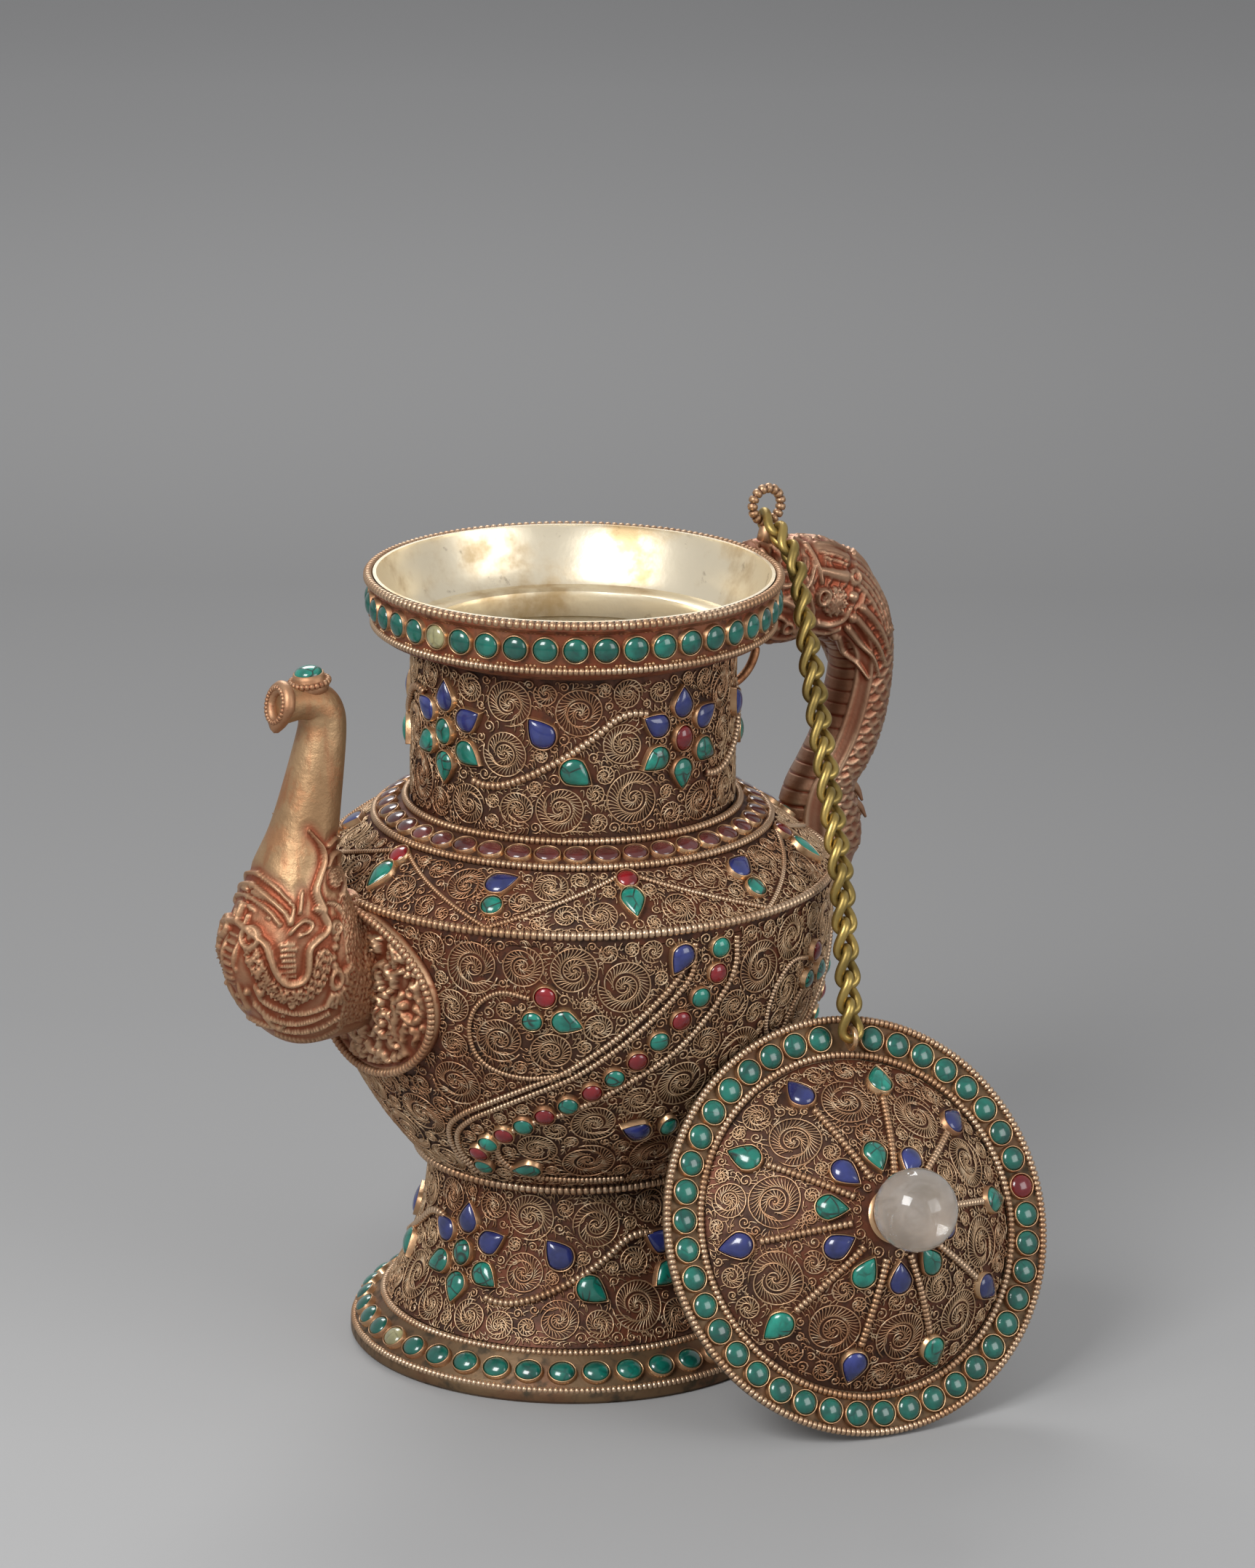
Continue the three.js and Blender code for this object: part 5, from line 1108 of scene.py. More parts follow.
class EWER_OT_neck(bpy.types.Operator):
    """Covers the neck and the pedestal with flowers, vines and filigree"""

    bl_idname = "ewer.neck"
    bl_label = "Neck and pedestal"

    def execute(self, context):
        sizes = context.scene.ewer_sizes
        thickness = sizes.edge_bead / MM * 0.88
        for name, first, height, swing, seed in (("neck", -49, 193.0, 1.0, 7), ("pedestal", -42, 35.0, 0.9, 8)):
            region, surface = Region(name), SURFACE[name]
            flowered(region, surface, first, surface.run_at(height), thickness, sizes.bead_pitch, swing)
            pack_scrolls(region, surface, seed)
            region.finish()
        return {"FINISHED"}


ZIGZAG_TOPS = (-52.3, 15.1, 81.0, 153.0, 230.0)
ZIGZAG_FEET = (-18.2, 48.6, 117.0, 191.5, 268.0)


class EWER_OT_shoulder(bpy.types.Operator):
    """Covers the shoulder with a zigzag of beaded wire, its stones and filigree"""

    bl_idname = "ewer.shoulder"
    bl_label = "Shoulder"

    def execute(self, context):
        sizes = context.scene.ewer_sizes
        region, surface = Region("shoulder"), SURFACE["shoulder"]
        top, foot = surface.length - 1.0, 1.2
        corners = []
        for high, low in zip(ZIGZAG_TOPS, ZIGZAG_FEET):
            corners += [(alpha(high), top), (alpha(low), foot)]
        corners.append((corners[0][0] + TAU, top))
        for a, b in zip(corners, corners[1:]):
            middle = ((a[0] + b[0]) / 2, (a[1] + b[1]) / 2)
            region.wire(surface, [a, middle, b], sizes.vine_bead / MM, sizes.bead_pitch)
        for high, low in zip(ZIGZAG_TOPS, ZIGZAG_FEET):
            region.stone(surface, alpha(high), top - 3.0, "garnet", 6.2, wall=1.9)
            region.stone(surface, alpha(high), top - 10.4, "turquoise", 6.8, 8.8, spin=math.pi, kind="drop", wall=1.9)
            region.stone(surface, alpha(low), foot + 7.0, "turquoise", 6.2, wall=1.9)
            region.stone(surface, alpha(low), foot + 14.8, "lapis", 7.2, 8.2, spin=-1.1, kind="drop", wall=1.9)
        bead_ring(region, BELLY_RADIUS + 0.2, SHOULDER_HEIGHT + 2.2, sizes.edge_bead / MM, sizes.bead_pitch)
        pack_scrolls(region, surface, 5, 0.9, 0.2, 7.2)
        region.finish()
        return {"FINISHED"}


# Slanting band of stones on the belly: degrees from the band's first stone and height of each
BAND_STONES = (
    (0.0, 139.1), (-0.6, 131.6), (-4.6, 125.1), (-8.9, 118.8), (-13.6, 113.0), (-18.2, 107.2), (-23.2, 102.1),
    (-28.2, 97.5), (-33.7, 93.0), (-39.5, 89.1), (-45.2, 85.0), (-51.0, 81.0), (-56.4, 77.0), (-60.8, 72.6),
    (-61.2, 67.4),
)
BAND_ABOVE = (
    (-6.0, 141.6), (-6.9, 132.0), (-12.0, 124.0), (-21.5, 112.6), (-32.0, 102.6), (-42.0, 96.2), (-52.0, 89.8),
    (-60.0, 84.4), (-66.0, 78.0), (-67.6, 70.0), (-63.5, 63.4),
)
BAND_BELOW = (
    (4.6, 141.6), (3.4, 129.4), (-7.6, 110.7), (-21.4, 98.5), (-34.0, 90.0), (-44.6, 85.0), (-51.0, 80.0),
    (-54.4, 75.0), (-53.5, 69.4), (-47.0, 65.4), (-36.0, 64.2), (-15.0, 63.8),
)
BAND_VINE = (
    (-42.0, 126.8), (-48.5, 128.0), (-53.8, 123.2), (-56.0, 115.5), (-54.8, 107.6), (-50.3, 103.0),
    (-42.5, 101.4), (-33.0, 103.6),
)
BAND_TENDRIL = ((24.0, 107.0), (25.5, 112.0), (29.0, 117.0), (33.5, 120.0))
# Loose stones beside the band: place, finish, width, length, spin and kind
BAND_CLUSTERS = (
    (-38.7, 127.8, "garnet", 6.2, 6.2, 0, "dome"), (-41.5, 120.3, "turquoise", 5.8, 5.8, 0, "dome"),
    (-34.5, 120.4, "turquoise", 7.0, 7.6, -1.9, "drop"), (-9.1, 138.0, "lapis", 7.2, 7.8, 2.6, "drop"),
    (-15.3, 82.9, "lapis", 7.2, 7.8, 1.2, "drop"), (-7.0, 83.6, "turquoise", 5.4, 7.0, 0, "dome"),
    (-45.9, 68.4, "turquoise", 6.2, 7.4, 1.7, "drop"),
)
BAND_STARTS = (33.7, 105.7, 177.7, 249.7)


class EWER_OT_belly(bpy.types.Operator):
    """Covers the belly with slanting bands of stones, vines and filigree"""

    bl_idname = "ewer.belly"
    bl_label = "Belly"

    def execute(self, context):
        sizes = context.scene.ewer_sizes
        surface = SURFACE["belly"]
        region = Region("belly")
        pitch = sizes.bead_pitch
        for start in BAND_STARTS:
            lay_band(region, surface, start, sizes, pitch)
        bead_ring(region, belly_radius(59.0) + 0.9, 58.9, sizes.edge_bead / MM, pitch)
        for x in np.linspace(-1, 1, 13):
            for y in np.linspace(-1, 1, 11):
                if x * x + y * y < 1:
                    run = surface.run_at(BOSS_HEIGHT + y * BOSS_HALF_HEIGHT)
                    region.take(surface.at(math.pi + x * BOSS_HALF_ARC / 74, run), 3.4)
        pack_scrolls(region, surface, 3, 0.8, 0.4)
        region.finish()
        return {"FINISHED"}


def lay_band(region, surface, start, sizes, pitch):
    """One slanting band with the wires beside it and its loose stones"""

    def placed(places):
        return [(alpha(start + turn), surface.run_at(height)) for turn, height in places]

    for i, (turn, run) in enumerate(placed(BAND_STONES)):
        region.stone(surface, turn, run, "garnet" if i % 2 else "turquoise", 5.9, wall=1.9, rise=2.8)
    twin = [(turn - 2.2, height + (1.4 if 70 < height < 136 else 0)) for turn, height in BAND_ABOVE]
    for line, swell in ((BAND_ABOVE, 1.25), (twin, 1.25), (BAND_BELOW, 1.25), (BAND_VINE, 1.0)):
        region.wire(surface, placed(line), sizes.vine_bead / MM * swell, pitch)
    for turn, height, finish, width, length, spin, kind in BAND_CLUSTERS:
        (turn, run), = placed([(turn, height)])
        region.stone(surface, turn, run, finish, width, length, 2.8, spin, kind, 2.0)
    region.wire(surface, placed(BAND_TENDRIL), sizes.vine_bead / MM, pitch)


class EWER_OT_lid(bpy.types.Operator):
    """Dresses the lid: its ring of turquoises, ribs, petals, filigree, cup and crystal"""

    bl_idname = "ewer.lid"
    bl_label = "Lid"

    def execute(self, context):
        sizes = context.scene.ewer_sizes
        matrix = lid_matrix()
        region = Region("lid", "lid")
        build_lid_flange(region, matrix, sizes)
        build_lid_dome(region, matrix, sizes)
        build_finial(matrix)
        region.finish()
        return {"FINISHED"}


def on_lid(outline, matrix, name, finish, slot, replaces, steps=128):
    """A form turned in the lid's own place, then leaned as the lid leans"""
    obj = spun(outline, steps, closed=outline[0][0] > 0)
    obj.data.transform(in_metres(matrix))
    return dressed(obj, name, finish, "lid", slot, replaces)


def in_metres(matrix):
    matrix = Matrix(matrix)
    matrix.translation = matrix.translation * MM
    return matrix


def build_lid_flange(region, matrix, sizes):
    walls = [
        (44.0, 0), (59.4, 0), (60.3, 0.9), (60.3, 2.1), (59.4, 2.7), (58.4, 2.0), (50.2, 2.0), (49.4, 2.6),
        (48.3, 2.6), (48.2, 2.0), (44.0, 2.0)]
    on_lid(walls, matrix, "lid_flange_sheet", FINISH["grimed"], "turquoise_band", ["lid_flange"])
    plate = Turned([(59.6, 1.999), (54.0, 2.0), (48.2, 2.001)], matrix)
    thickness = sizes.seam_bead / MM
    for radius in (59.6, 49.3):
        path = circle(180, radius, 2.7) @ np.array(matrix)[:3, :3].T + np.array(matrix)[:3, 3]
        region.add("bead", beaded(path, thickness, sizes.bead_pitch * thickness, loop=True))
    for i in range(1, LID_STONES):
        turn = math.radians(83 + 360 / LID_STONES * i)
        finish = "garnet" if i == LID_RED_STONE else "teal"
        region.stone(plate, turn, 5.2, finish, sizes.round_stone / MM, rise=2.6, wall=1.6)


def build_lid_dome(region, matrix, sizes):
    radii = np.linspace(0, LID_DOME_RADIUS, 22)
    outside = [(r, dome_height(r)) for r in radii]
    inside = [(r * 0.973, max(LID_PLATE + 0.3, dome_height(r * 0.973) - 1.3)) for r in reversed(radii)]
    on_lid([*outside, *inside], matrix, "lid_dome_sheet", FINISH["bed"], "gilt_copper", ["lid_dome"])
    surface = SURFACE["dome"]
    thickness = sizes.vine_bead / MM * 1.5
    drop_run = 9.5
    for k in range(LID_RIBS):
        turn = math.radians(73.3 - 360 / LID_RIBS * k)
        drop = "turquoise" if k % 2 == 0 else "lapis"
        region.stone(surface, turn, drop_run, drop, 7.6, 8.6, 2.9, math.pi, "drop", 1.9)
        rib = [(turn, run) for run in (drop_run + 6, 25.0, surface.length - 6)]
        region.wire(surface, rib, thickness, sizes.bead_pitch)
        region.stone(surface, turn + math.radians(18), surface.length - 12.5, drop, 7.2, 8.0, 2.9, 0, "drop", 1.9)
    pack_scrolls(region, surface, 4, 0.8, 3.0)


def build_finial(matrix):
    top = dome_height(0)
    cup = [
        (0, top + 0.3), (7.4, top + 0.3), (8.2, top + 1.2), (7.2, top + 2.0), (7.0, top + 3.0), (8.4, top + 4.4),
        (8.3, top + 5.0), (6.4, top + 4.2), (3.0, top + 3.4), (0, top + 3.2)]
    on_lid(cup, matrix, "finial_cup_turned", FINISH["smooth"], "cast_gilt", ["finial_cup"], 48)
    clear_selection()
    bpy.ops.mesh.primitive_uv_sphere_add(segments=64, ring_count=32, radius=(BALL_RADIUS - 0.05) * MM)
    ball = bpy.context.object
    ball.data.transform(in_metres(matrix @ Matrix.Translation((0, 0, top + 3.2 + BALL_RADIUS))))
    dressed(ball, "crystal_ball_polished", FINISH["crystal"], "lid", "rock_crystal", ["crystal_ball"], 180)


# Sculpture: a height field over a lofted form, drawn with ridges, discs, rings and grounds of pebbles
class Relief:
    """Both halves of the form are alike; a path given as x and z is lifted onto the form"""

    def __init__(self, points):
        self.places = np.abs(points * (0, 1, 0)) + points * (1, 0, 1)
        self.height = np.zeros(len(points))
        self.worked = np.zeros(len(points))

    def lifted(self, path):
        path = np.atleast_2d(np.array(path, float))
        if path.shape[1] == 3:
            return path
        flat = self.places[:, [0, 2]]
        return np.array([self.places[np.argmin(((flat - place) ** 2).sum(1))] for place in path])

    def rise(self, distance, half_width, height):
        share = np.clip(distance / half_width, 0, 1)
        self.height = np.maximum(self.height, height * (1 - share**2) ** 0.7)
        self.worked = np.maximum(self.worked, np.clip((half_width + 3 - distance) / 2, 0, 1))

    def ridge(self, path, half_width, height, end_width=None):
        """A rounded ridge along a smooth path, which may taper"""
        path = resampled(self.lifted(path), 0.8)
        end_width = half_width if end_width is None else end_width
        near = np.full(len(self.places), 1e9)
        width = np.full(len(self.places), float(half_width))
        for a, b, w in zip(path, path[1:], np.linspace(half_width, end_width, len(path))):
            span = b - a
            share = np.clip((self.places - a) @ span / (span @ span + 1e-9), 0, 1)
            gap = np.linalg.norm(self.places - a - share[:, None] * span, axis=1)
            closer = gap < near
            near[closer], width[closer] = gap[closer], w
        self.rise(near, width, height)

    def disc(self, centre, radius, height, tall=1.0):
        gap = np.linalg.norm((self.places - self.lifted(centre)) / (1, 1, tall), axis=1)
        self.rise(gap, radius, height)

    def ring(self, centre, radius, half_width, height, tall=1.0):
        gap = np.abs(np.linalg.norm((self.places - self.lifted(centre)) / (1, 1, tall), axis=1) - radius)
        self.rise(gap, half_width, height)

    def pebbles(self, inside, pitch, height, seed=1):
        """Fine round pebbles over a ground"""
        rng = np.random.RandomState(seed)
        chosen = np.nonzero(inside)[0]
        if not len(chosen):
            return
        flat = self.places[:, [0, 2]]
        low, high = flat[chosen].min(0), flat[chosen].max(0)
        columns, rows = np.arange(low[0], high[0] + pitch, pitch), np.arange(low[1], high[1] + pitch, pitch * 0.86)
        across, up = np.meshgrid(columns, rows)
        across[1::2] += pitch / 2
        centres = np.stack([across.ravel(), up.ravel()], 1) + rng.uniform(-0.2, 0.2, (across.size, 2)) * pitch
        for start in range(0, len(chosen), 2000):
            block = chosen[start:start + 2000]
            gap = np.linalg.norm(flat[block][:, None] - centres[None], axis=2).min(1)
            share = np.clip(gap / (pitch * 0.55), 0, 1)
            self.height[block] = np.maximum(self.height[block], height * (1 - share**2) ** 0.7)
            self.worked[block] = 1


def loft(rings, step, sides):
    """Rows of points round oval rings: back x and z, front x and z, and half width of each"""
    rows = resampled(rings, step)
    turns = np.arange(sides) * TAU / sides
    middle, reach = (rows[:, 0:2] + rows[:, 2:4]) / 2, (rows[:, 2:4] - rows[:, 0:2]) / 2
    x = middle[:, :1] + reach[:, :1] * np.cos(turns)
    z = middle[:, 1:] + reach[:, 1:] * np.cos(turns)
    return np.stack([x, rows[:, 4:5] * np.sin(turns), z], -1)


def outwards(grid):
    """Unit normals of a lofted grid, and whether its rows and columns run left-handed"""
    along = np.gradient(grid, axis=0)
    around = np.roll(grid, -1, 1) - np.roll(grid, 1, 1)
    normal = np.cross(along, around)
    normal /= np.linalg.norm(normal, axis=2, keepdims=True) + 1e-12
    turned = (normal * (grid - grid.mean(1, keepdims=True))).sum() > 0
    return (normal if turned else -normal), turned


def worn(height, worked, reach=4):
    """Wear of a grid of heights: low in the crevices beside what stands out, high on the heights"""
    blurred = sum(np.roll(height, k, 1) for k in range(-reach, reach + 1)) / (2 * reach + 1)
    padded = np.pad(blurred, ((reach, reach), (0, 0)), "edge")
    blurred = sum(padded[k:k + len(height)] for k in range(2 * reach + 1)) / (2 * reach + 1)
    return np.clip(1 - worked * (1 - np.clip(0.58 + 1.25 * (height - blurred), 0, 1)), 0, 0.999).ravel()


def sculpted(grid, relief, carve):
    """The lofted form with its relief, closed at both ends"""
    normal, turned = outwards(grid)
    rows, sides = grid.shape[:2]
    height = (relief.height - carve * relief.worked).reshape(rows, sides, 1)
    points = (grid + normal * height).reshape(-1, 3)
    quads = grid_faces(rows, sides)
    first, last = np.arange(sides)[None], (np.arange(sides) + (rows - 1) * sides)[None]
    blocks = [quads[:, ::-1], first, last[:, ::-1]] if turned else [quads, first[:, ::-1], last]
    return Shape(points, blocks, worn(relief.height.reshape(rows, sides), relief.worked.reshape(rows, sides)))


def clear_of_ewer(shape):
    """Moves the points that lie inside the ewer's wall out to just above it"""
    x, y, z = shape.points.T
    upper = np.interp(z, [145.3, 159.1, 159.2, 211, 214, 217], [76, 58.3, 47, 47, 61.2, 61.2])
    limit = np.where(z < SHOULDER_HEIGHT + 1.8, belly_radius(z), upper) + 0.35
    scale = np.maximum(1, limit / np.maximum(np.hypot(x, y), 1))
    shape.points = shape.points * np.stack([scale, scale, np.ones_like(scale)], 1)
    return shape


BOSS_HEIGHT = 120.0
BOSS_HALF_HEIGHT = 26.6
BOSS_HALF_ARC = 37.0
# Radius of the belly behind the boss, and the place of the boss's beaded border as a share of its size
BOSS_BEND = 75.5
BOSS_BORDER = 0.955

# The spout's oval sections: back x and z, front x and z, half width
SPOUT_RINGS = (
    (-66, 146, -66, 108, 12.9), (-78, 148.9, -81, 105, 15.7), (-81, 154, -95, 105, 18.5),
    (-82, 157, -105, 111, 18.5), (-82.2, 159, -112, 121, 17.6), (-82, 161, -116, 134, 15.9),
    (-81, 168, -107, 156, 12.0), (-79.9, 176, -99.8, 170.9, 9.8), (-77.7, 196, -92.2, 195, 7.3),
    (-78.6, 204.5, -91.4, 200.4, 6.8), (-82.6, 209.8, -92.2, 201.2, 6.5), (-89, 211.4, -93.8, 201.2, 6.0),
    (-96.4, 211.2, -97.6, 200.6, 5.6), (-97.6, 211.0, -98.6, 200.5, 5.3),
)

# Ridges of the spout's head in its side view: half width at the start and the end, height, and the path
SPOUT_RIDGES = (
    (1.5, 1.3, 2.2, ((-112.7, 150.3), (-114.3, 147.5), (-113.6, 145), (-111.5, 142.2), (-110, 140), (-109.2, 136),
        (-107.8, 132), (-105.8, 129), (-103.4, 128.2), (-101, 129.4), (-99.6, 132), (-99.2, 135.5), (-98.4, 139),
        (-96, 141.3), (-93.6, 142.6), (-92.6, 145), (-93.6, 148), (-95.6, 149.6))),
    (0.8, 0.6, 1.4, ((-104, 143.5), (-102, 145.5), (-99.5, 146.6), (-97.5, 145.5), (-99, 143.6), (-101.5, 142.6))),
    (0.9, 0.5, 1.5, ((-103.4, 146.2), (-101.8, 150.5))), (0.9, 0.5, 1.5, ((-100.6, 149), (-98.9, 154.6))),
    (1.2, 0.9, 1.5, ((-113.5, 157), (-110.5, 156), (-107, 153), (-104.5, 149.2), (-103.6, 146.5))),
    (1.0, 0.8, 1.2, ((-114.2, 153.6), (-110.8, 152.4), (-107.6, 149.4), (-106, 146))),
    (1.9, 0.5, 2.2, ((-93.6, 149), (-94.8, 154), (-93.2, 158), (-91, 162), (-91.4, 166), (-94.2, 171))),
    (1.2, 0.8, 1.8, ((-90.2, 160.5), (-88.2, 163), (-85.2, 163.2), (-83.2, 160.8), (-82.8, 157), (-83.6, 153.4),
        (-86, 151.4))),
    (1.0, 0.7, 1.2, ((-88.6, 166), (-85.6, 167.2), (-82.6, 165.2), (-80.8, 161))),
    (0.9, 0.6, 1.3, ((-112, 127), (-109.5, 122.4), (-105, 119.6), (-100, 118.6), (-95, 119.8), (-90, 122))),
    (1.0, 0.6, 1.4, ((-110.5, 121), (-107, 117), (-102.5, 115.2), (-97.5, 115.8), (-92, 118))),
    (1.1, 0.6, 1.5, ((-108, 117.6), (-104.5, 113.6), (-100, 112.2), (-94.5, 113), (-88, 116))),
    (0.9, 0.5, 1.2, ((-103, 110.6), (-98, 108.6), (-92, 108.8), (-86, 112))),
    (0.8, 0.5, 1.2, ((-86.6, 146.8), (-88.8, 149.6), (-92, 150.6))),
    (0.9, 0.6, 1.3, ((-107.4, 158.4), (-104.6, 155.2), (-102, 151))),
)
# Where fine grains lie round the mouth
JAW_LINE = (
    (-113, 138), (-111.8, 133), (-109.6, 128.5), (-106.6, 125.3), (-103.2, 124.2), (-99.6, 125.4), (-97, 128.2),
    (-95.8, 131.5), (-95.2, 136))

# The same two tables for the handle
HANDLE_RINGS = (
    (74, 131, 99, 128, 6.6), (74, 140, 101.5, 137.1, 7.9), (74, 149, 100.5, 147, 8.5), (77, 157, 98.2, 154.5, 8.8),
    (81.5, 164, 102.5, 160.5, 9.0), (86, 171.5, 106.8, 168.5, 9.0), (90, 181, 109.9, 180, 9.2),
    (92.6, 190.5, 111, 194, 9.5), (91.5, 197, 109.6, 206, 10.0), (87.5, 200.5, 104.5, 216.5, 10.4),
    (82.5, 202, 97.5, 225, 10.6), (77.5, 202.6, 88.5, 231, 10.4), (72.5, 202, 79.5, 233, 10.0),
    (67, 202.6, 70.5, 233.5, 9.3), (61.5, 204.7, 61.5, 233.5, 8.1),
)
HANDLE_RIDGES = (
    (1.5, 0.4, 2.2, ((88.6, 203), (92.4, 197.5), (95.6, 193.8), (98.4, 188.6))),
    (1.5, 0.4, 2.2, ((90.2, 205.6), (95.1, 200.4), (99.4, 195.4), (101.4, 189))),
    (1.5, 0.4, 2.2, ((92.4, 208.4), (97, 203.8), (101, 198.8), (103.8, 192))),
    (1.5, 0.4, 2.2, ((94.6, 211.4), (98.8, 207.2), (102.6, 202), (105.4, 195.4))),
    (3.1, 1.6, 1.7, ((81.9, 230.3), (86.3, 228.7), (91.2, 226.2))),
    (0.45, 0.3, 2.3, ((81.6, 229), (86, 227.6), (91, 225.4))),
    (0.45, 0.3, 2.3, ((81.2, 231), (86.6, 230), (92, 227.2))),
    (0.45, 0.3, 2.2, ((82.4, 227.4), (86, 226.2), (90, 224.4))),
    (1.4, 2.3, 2.1, ((80.6, 224.4), (84.4, 223), (89, 221.4))),
    (1.2, 0.9, 1.9, ((62.4, 231.4), (64.2, 227), (67.4, 225.4), (71, 226.8), (72.6, 230.4))),
    (1.1, 0.8, 1.7, ((60.8, 227.6), (63.4, 223.4), (68, 221.4), (73, 223.2), (75.6, 228))),
    (1.1, 0.8, 1.6, ((62.4, 220.6), (66, 218.6), (71, 218.4), (75.4, 220.6), (78.4, 226))),
    (1.9, 1.0, 2.3, ((61.6, 216.4), (66, 217), (71, 214.8), (73.8, 210.8), (71.8, 206.8))),
    (1.2, 0.8, 1.6, ((62, 211.6), (66.4, 211.8), (69.4, 209.6))),
    (1.2, 0.8, 1.8, ((77.6, 231.6), (79.6, 226), (80, 220.6))),
    (1.1, 0.8, 1.6, ((76.2, 216.6), (77.6, 211.4), (75.6, 206.8))),
    (1.3, 0.8, 1.8, ((80, 208.6), (84, 207.4), (88, 208.6), (90, 212))),
    (1.0, 0.7, 1.5, ((79.4, 205.4), (84, 204.4), (88, 205.6))),
    (1.0, 0.7, 1.4, ((62, 206.6), (66, 205.2), (70, 204.2), (74, 204.8))),
    (1.1, 0.6, 1.6, ((66.6, 232.4), (69.6, 229.6), (72.4, 231.6), (75.4, 233))),
)
# First and last of the long feathers down the dragon's back
FEATHERS = (
    ((92, 219.6), (97, 215), (101, 208.6), (103, 201.4)), ((97, 228), (103.6, 222), (108.4, 213), (109.8, 202)))


class EWER_OT_spout(bpy.types.Operator):
    """Models the spout's makara head and trunk, its lip and cap, and the oval boss behind it"""

    bl_idname = "ewer.spout"
    bl_label = "Spout"

    def execute(self, context):
        build_spout()
        build_lip()
        build_cap()
        build_boss()
        return {"FINISHED"}


def build_spout():
    grid = loft(SPOUT_RINGS, 0.62, 216)
    relief = Relief(grid.reshape(-1, 3))
    x, _, z = relief.places.T
    relief.worked = np.clip((150 - z) / 5, 0, 1)
    for start, end, height, path in SPOUT_RIDGES:
        relief.ridge(path, start * 0.82, height, end * 0.82)
    relief.disc((-87, 156.8), 3.4, 1.0)
    relief.ring((-89.9, 143.7), 1.5, 0.7, 1.6)
    relief.disc((-89.9, 143.7), 0.7, 1.8)
    for centre in ((-90.4, 140.6), (-91, 138.0), (-91.6, 135.4), (-91.8, 132.8)):
        relief.disc(centre, 1.5, 1.2, 0.72)
    relief.ring((-91, 128.4), 1.7, 0.7, 1.6, 1.5)
    for degrees in range(-110, 45, 13):
        turn = math.radians(degrees)
        path = [(-91 + reach * math.cos(turn), 128.0 + reach * 1.2 * math.sin(turn)) for reach in (3.2, 5.0, 6.8)]
        relief.ridge(path, 0.75, 1.3, 0.45)
    for height in np.arange(130.6, 141.5, 1.6):
        relief.ridge([(-106.6, height), (-104.8, height + 0.2), (-103.0, height)], 0.55, 0.9)
    relief.ridge([(-104.8, 130), (-104.8, 141)], 0.4, 0.9)
    carve_front(relief)
    lip = Relief(relief.places)
    lip.ridge(JAW_LINE, 2.6, 1.0)
    relief.pebbles(lip.height > 0.3, 1.05, 1.9, 2)
    relief.pebbles((x > -87.5) & (z > 112) & (z < 151) & (relief.height < 0.3), 1.15, 0.75, 3)
    relief.pebbles((np.hypot(x + 87, z - 156.8) < 2.8), 0.95, 1.7, 4)
    relief.disc((-102.9, 121.6), 1.3, 1.7)
    obj = cast("spout_sculpted", clear_of_ewer(sculpted(grid, relief, 0.45)), "trunk", "spout")
    obj.data.attributes.new("smooth", "FLOAT", "POINT").data.foreach_set("value", 1 - relief.worked)


def carve_front(relief):
    """The front of the makara's head: scrolled eyes, bosses, a ladder down the middle and leaves on the jaw"""
    eye = (-112.3, 6.9, 141.4)
    relief.ring(eye, 2.9, 0.95, 2.0)
    relief.disc(eye, 1.5, 1.5)
    for centre, radius in (((-113.7, 8.1, 135.1), 1.2), ((-111.9, 10.5, 131.9), 1.3), ((-110.5, 9.2, 125.4), 1.7),
                           ((-114.8, 3.6, 131.5), 1.1), ((-112.6, 5.4, 125.0), 1.2)):
        relief.disc(centre, radius, 1.7)
    for height in np.arange(122.0, 147.0, 2.1):
        place = relief.lifted([(-118.0, height)])[0]
        relief.ridge([(place[0], 0, height), (place[0] + 0.2, 2.0, height)], 0.6, 1.1)
    beside = [
        (-111.2, 3.4, 147.0), (-114.6, 3.2, 140.0), (-115.4, 3.0, 133.0), (-113.4, 3.0, 125.0), (-110.4, 2.6, 119.0)]
    relief.ridge(beside, 0.7, 1.4)
    for height in (122.5, 118.5, 114.8):
        low = 126 - height
        leaf = [
            (-114 + low * 0.55, 0.5, height), (-111 + low * 0.5, 6.5, height - 1.2),
            (-107 + low * 0.4, 11, height - 0.6)]
        relief.ridge(leaf, 1.0, 1.4, 0.6)
    relief.ridge([(-110.6, 2.0, 149.5), (-110.4, 7.0, 148.5), (-108.4, 10.6, 147.6)], 1.0, 1.5)
    relief.ridge([(-108.4, 1.6, 153.0), (-108.0, 6.6, 152.4), (-106.2, 10.2, 151.6)], 0.9, 1.3)


def facing(place, direction):
    """Matrix that stands a shape's Z axis along a direction in the XZ plane"""
    out = Vector(direction).normalized()
    across = Vector((0, 1, 0))
    matrix = Matrix((across, out.cross(across), out)).transposed().to_4x4()
    matrix.translation = Vector(place)
    return matrix


def build_lip():
    matrix = facing((-97.2, 0, 205.8), (-0.979, 0, 0.2))
    walls = [(3.0, -1.0), (6.0, -1.0), (7.1, 0.2), (7.2, 1.6), (6.4, 2.8), (4.8, 3.1), (3.6, 2.6), (3.0, 1.4)]
    ring = taken(spun(walls, 48, closed=True))
    gathered = Gathered()
    gathered.add(to_drop(ring.scaled(1 / 7.2), 1.12).scaled(6.4, 7.2, 6.8).moved(matrix))
    gathered.add(beaded(circle(60, 4.5, 2.7, -5.0), 1.6, 1.15, loop=True, up=(0, 0, 1)).moved(matrix))
    cast("lip_cast", gathered.shape(), "chased", "spout_lip")


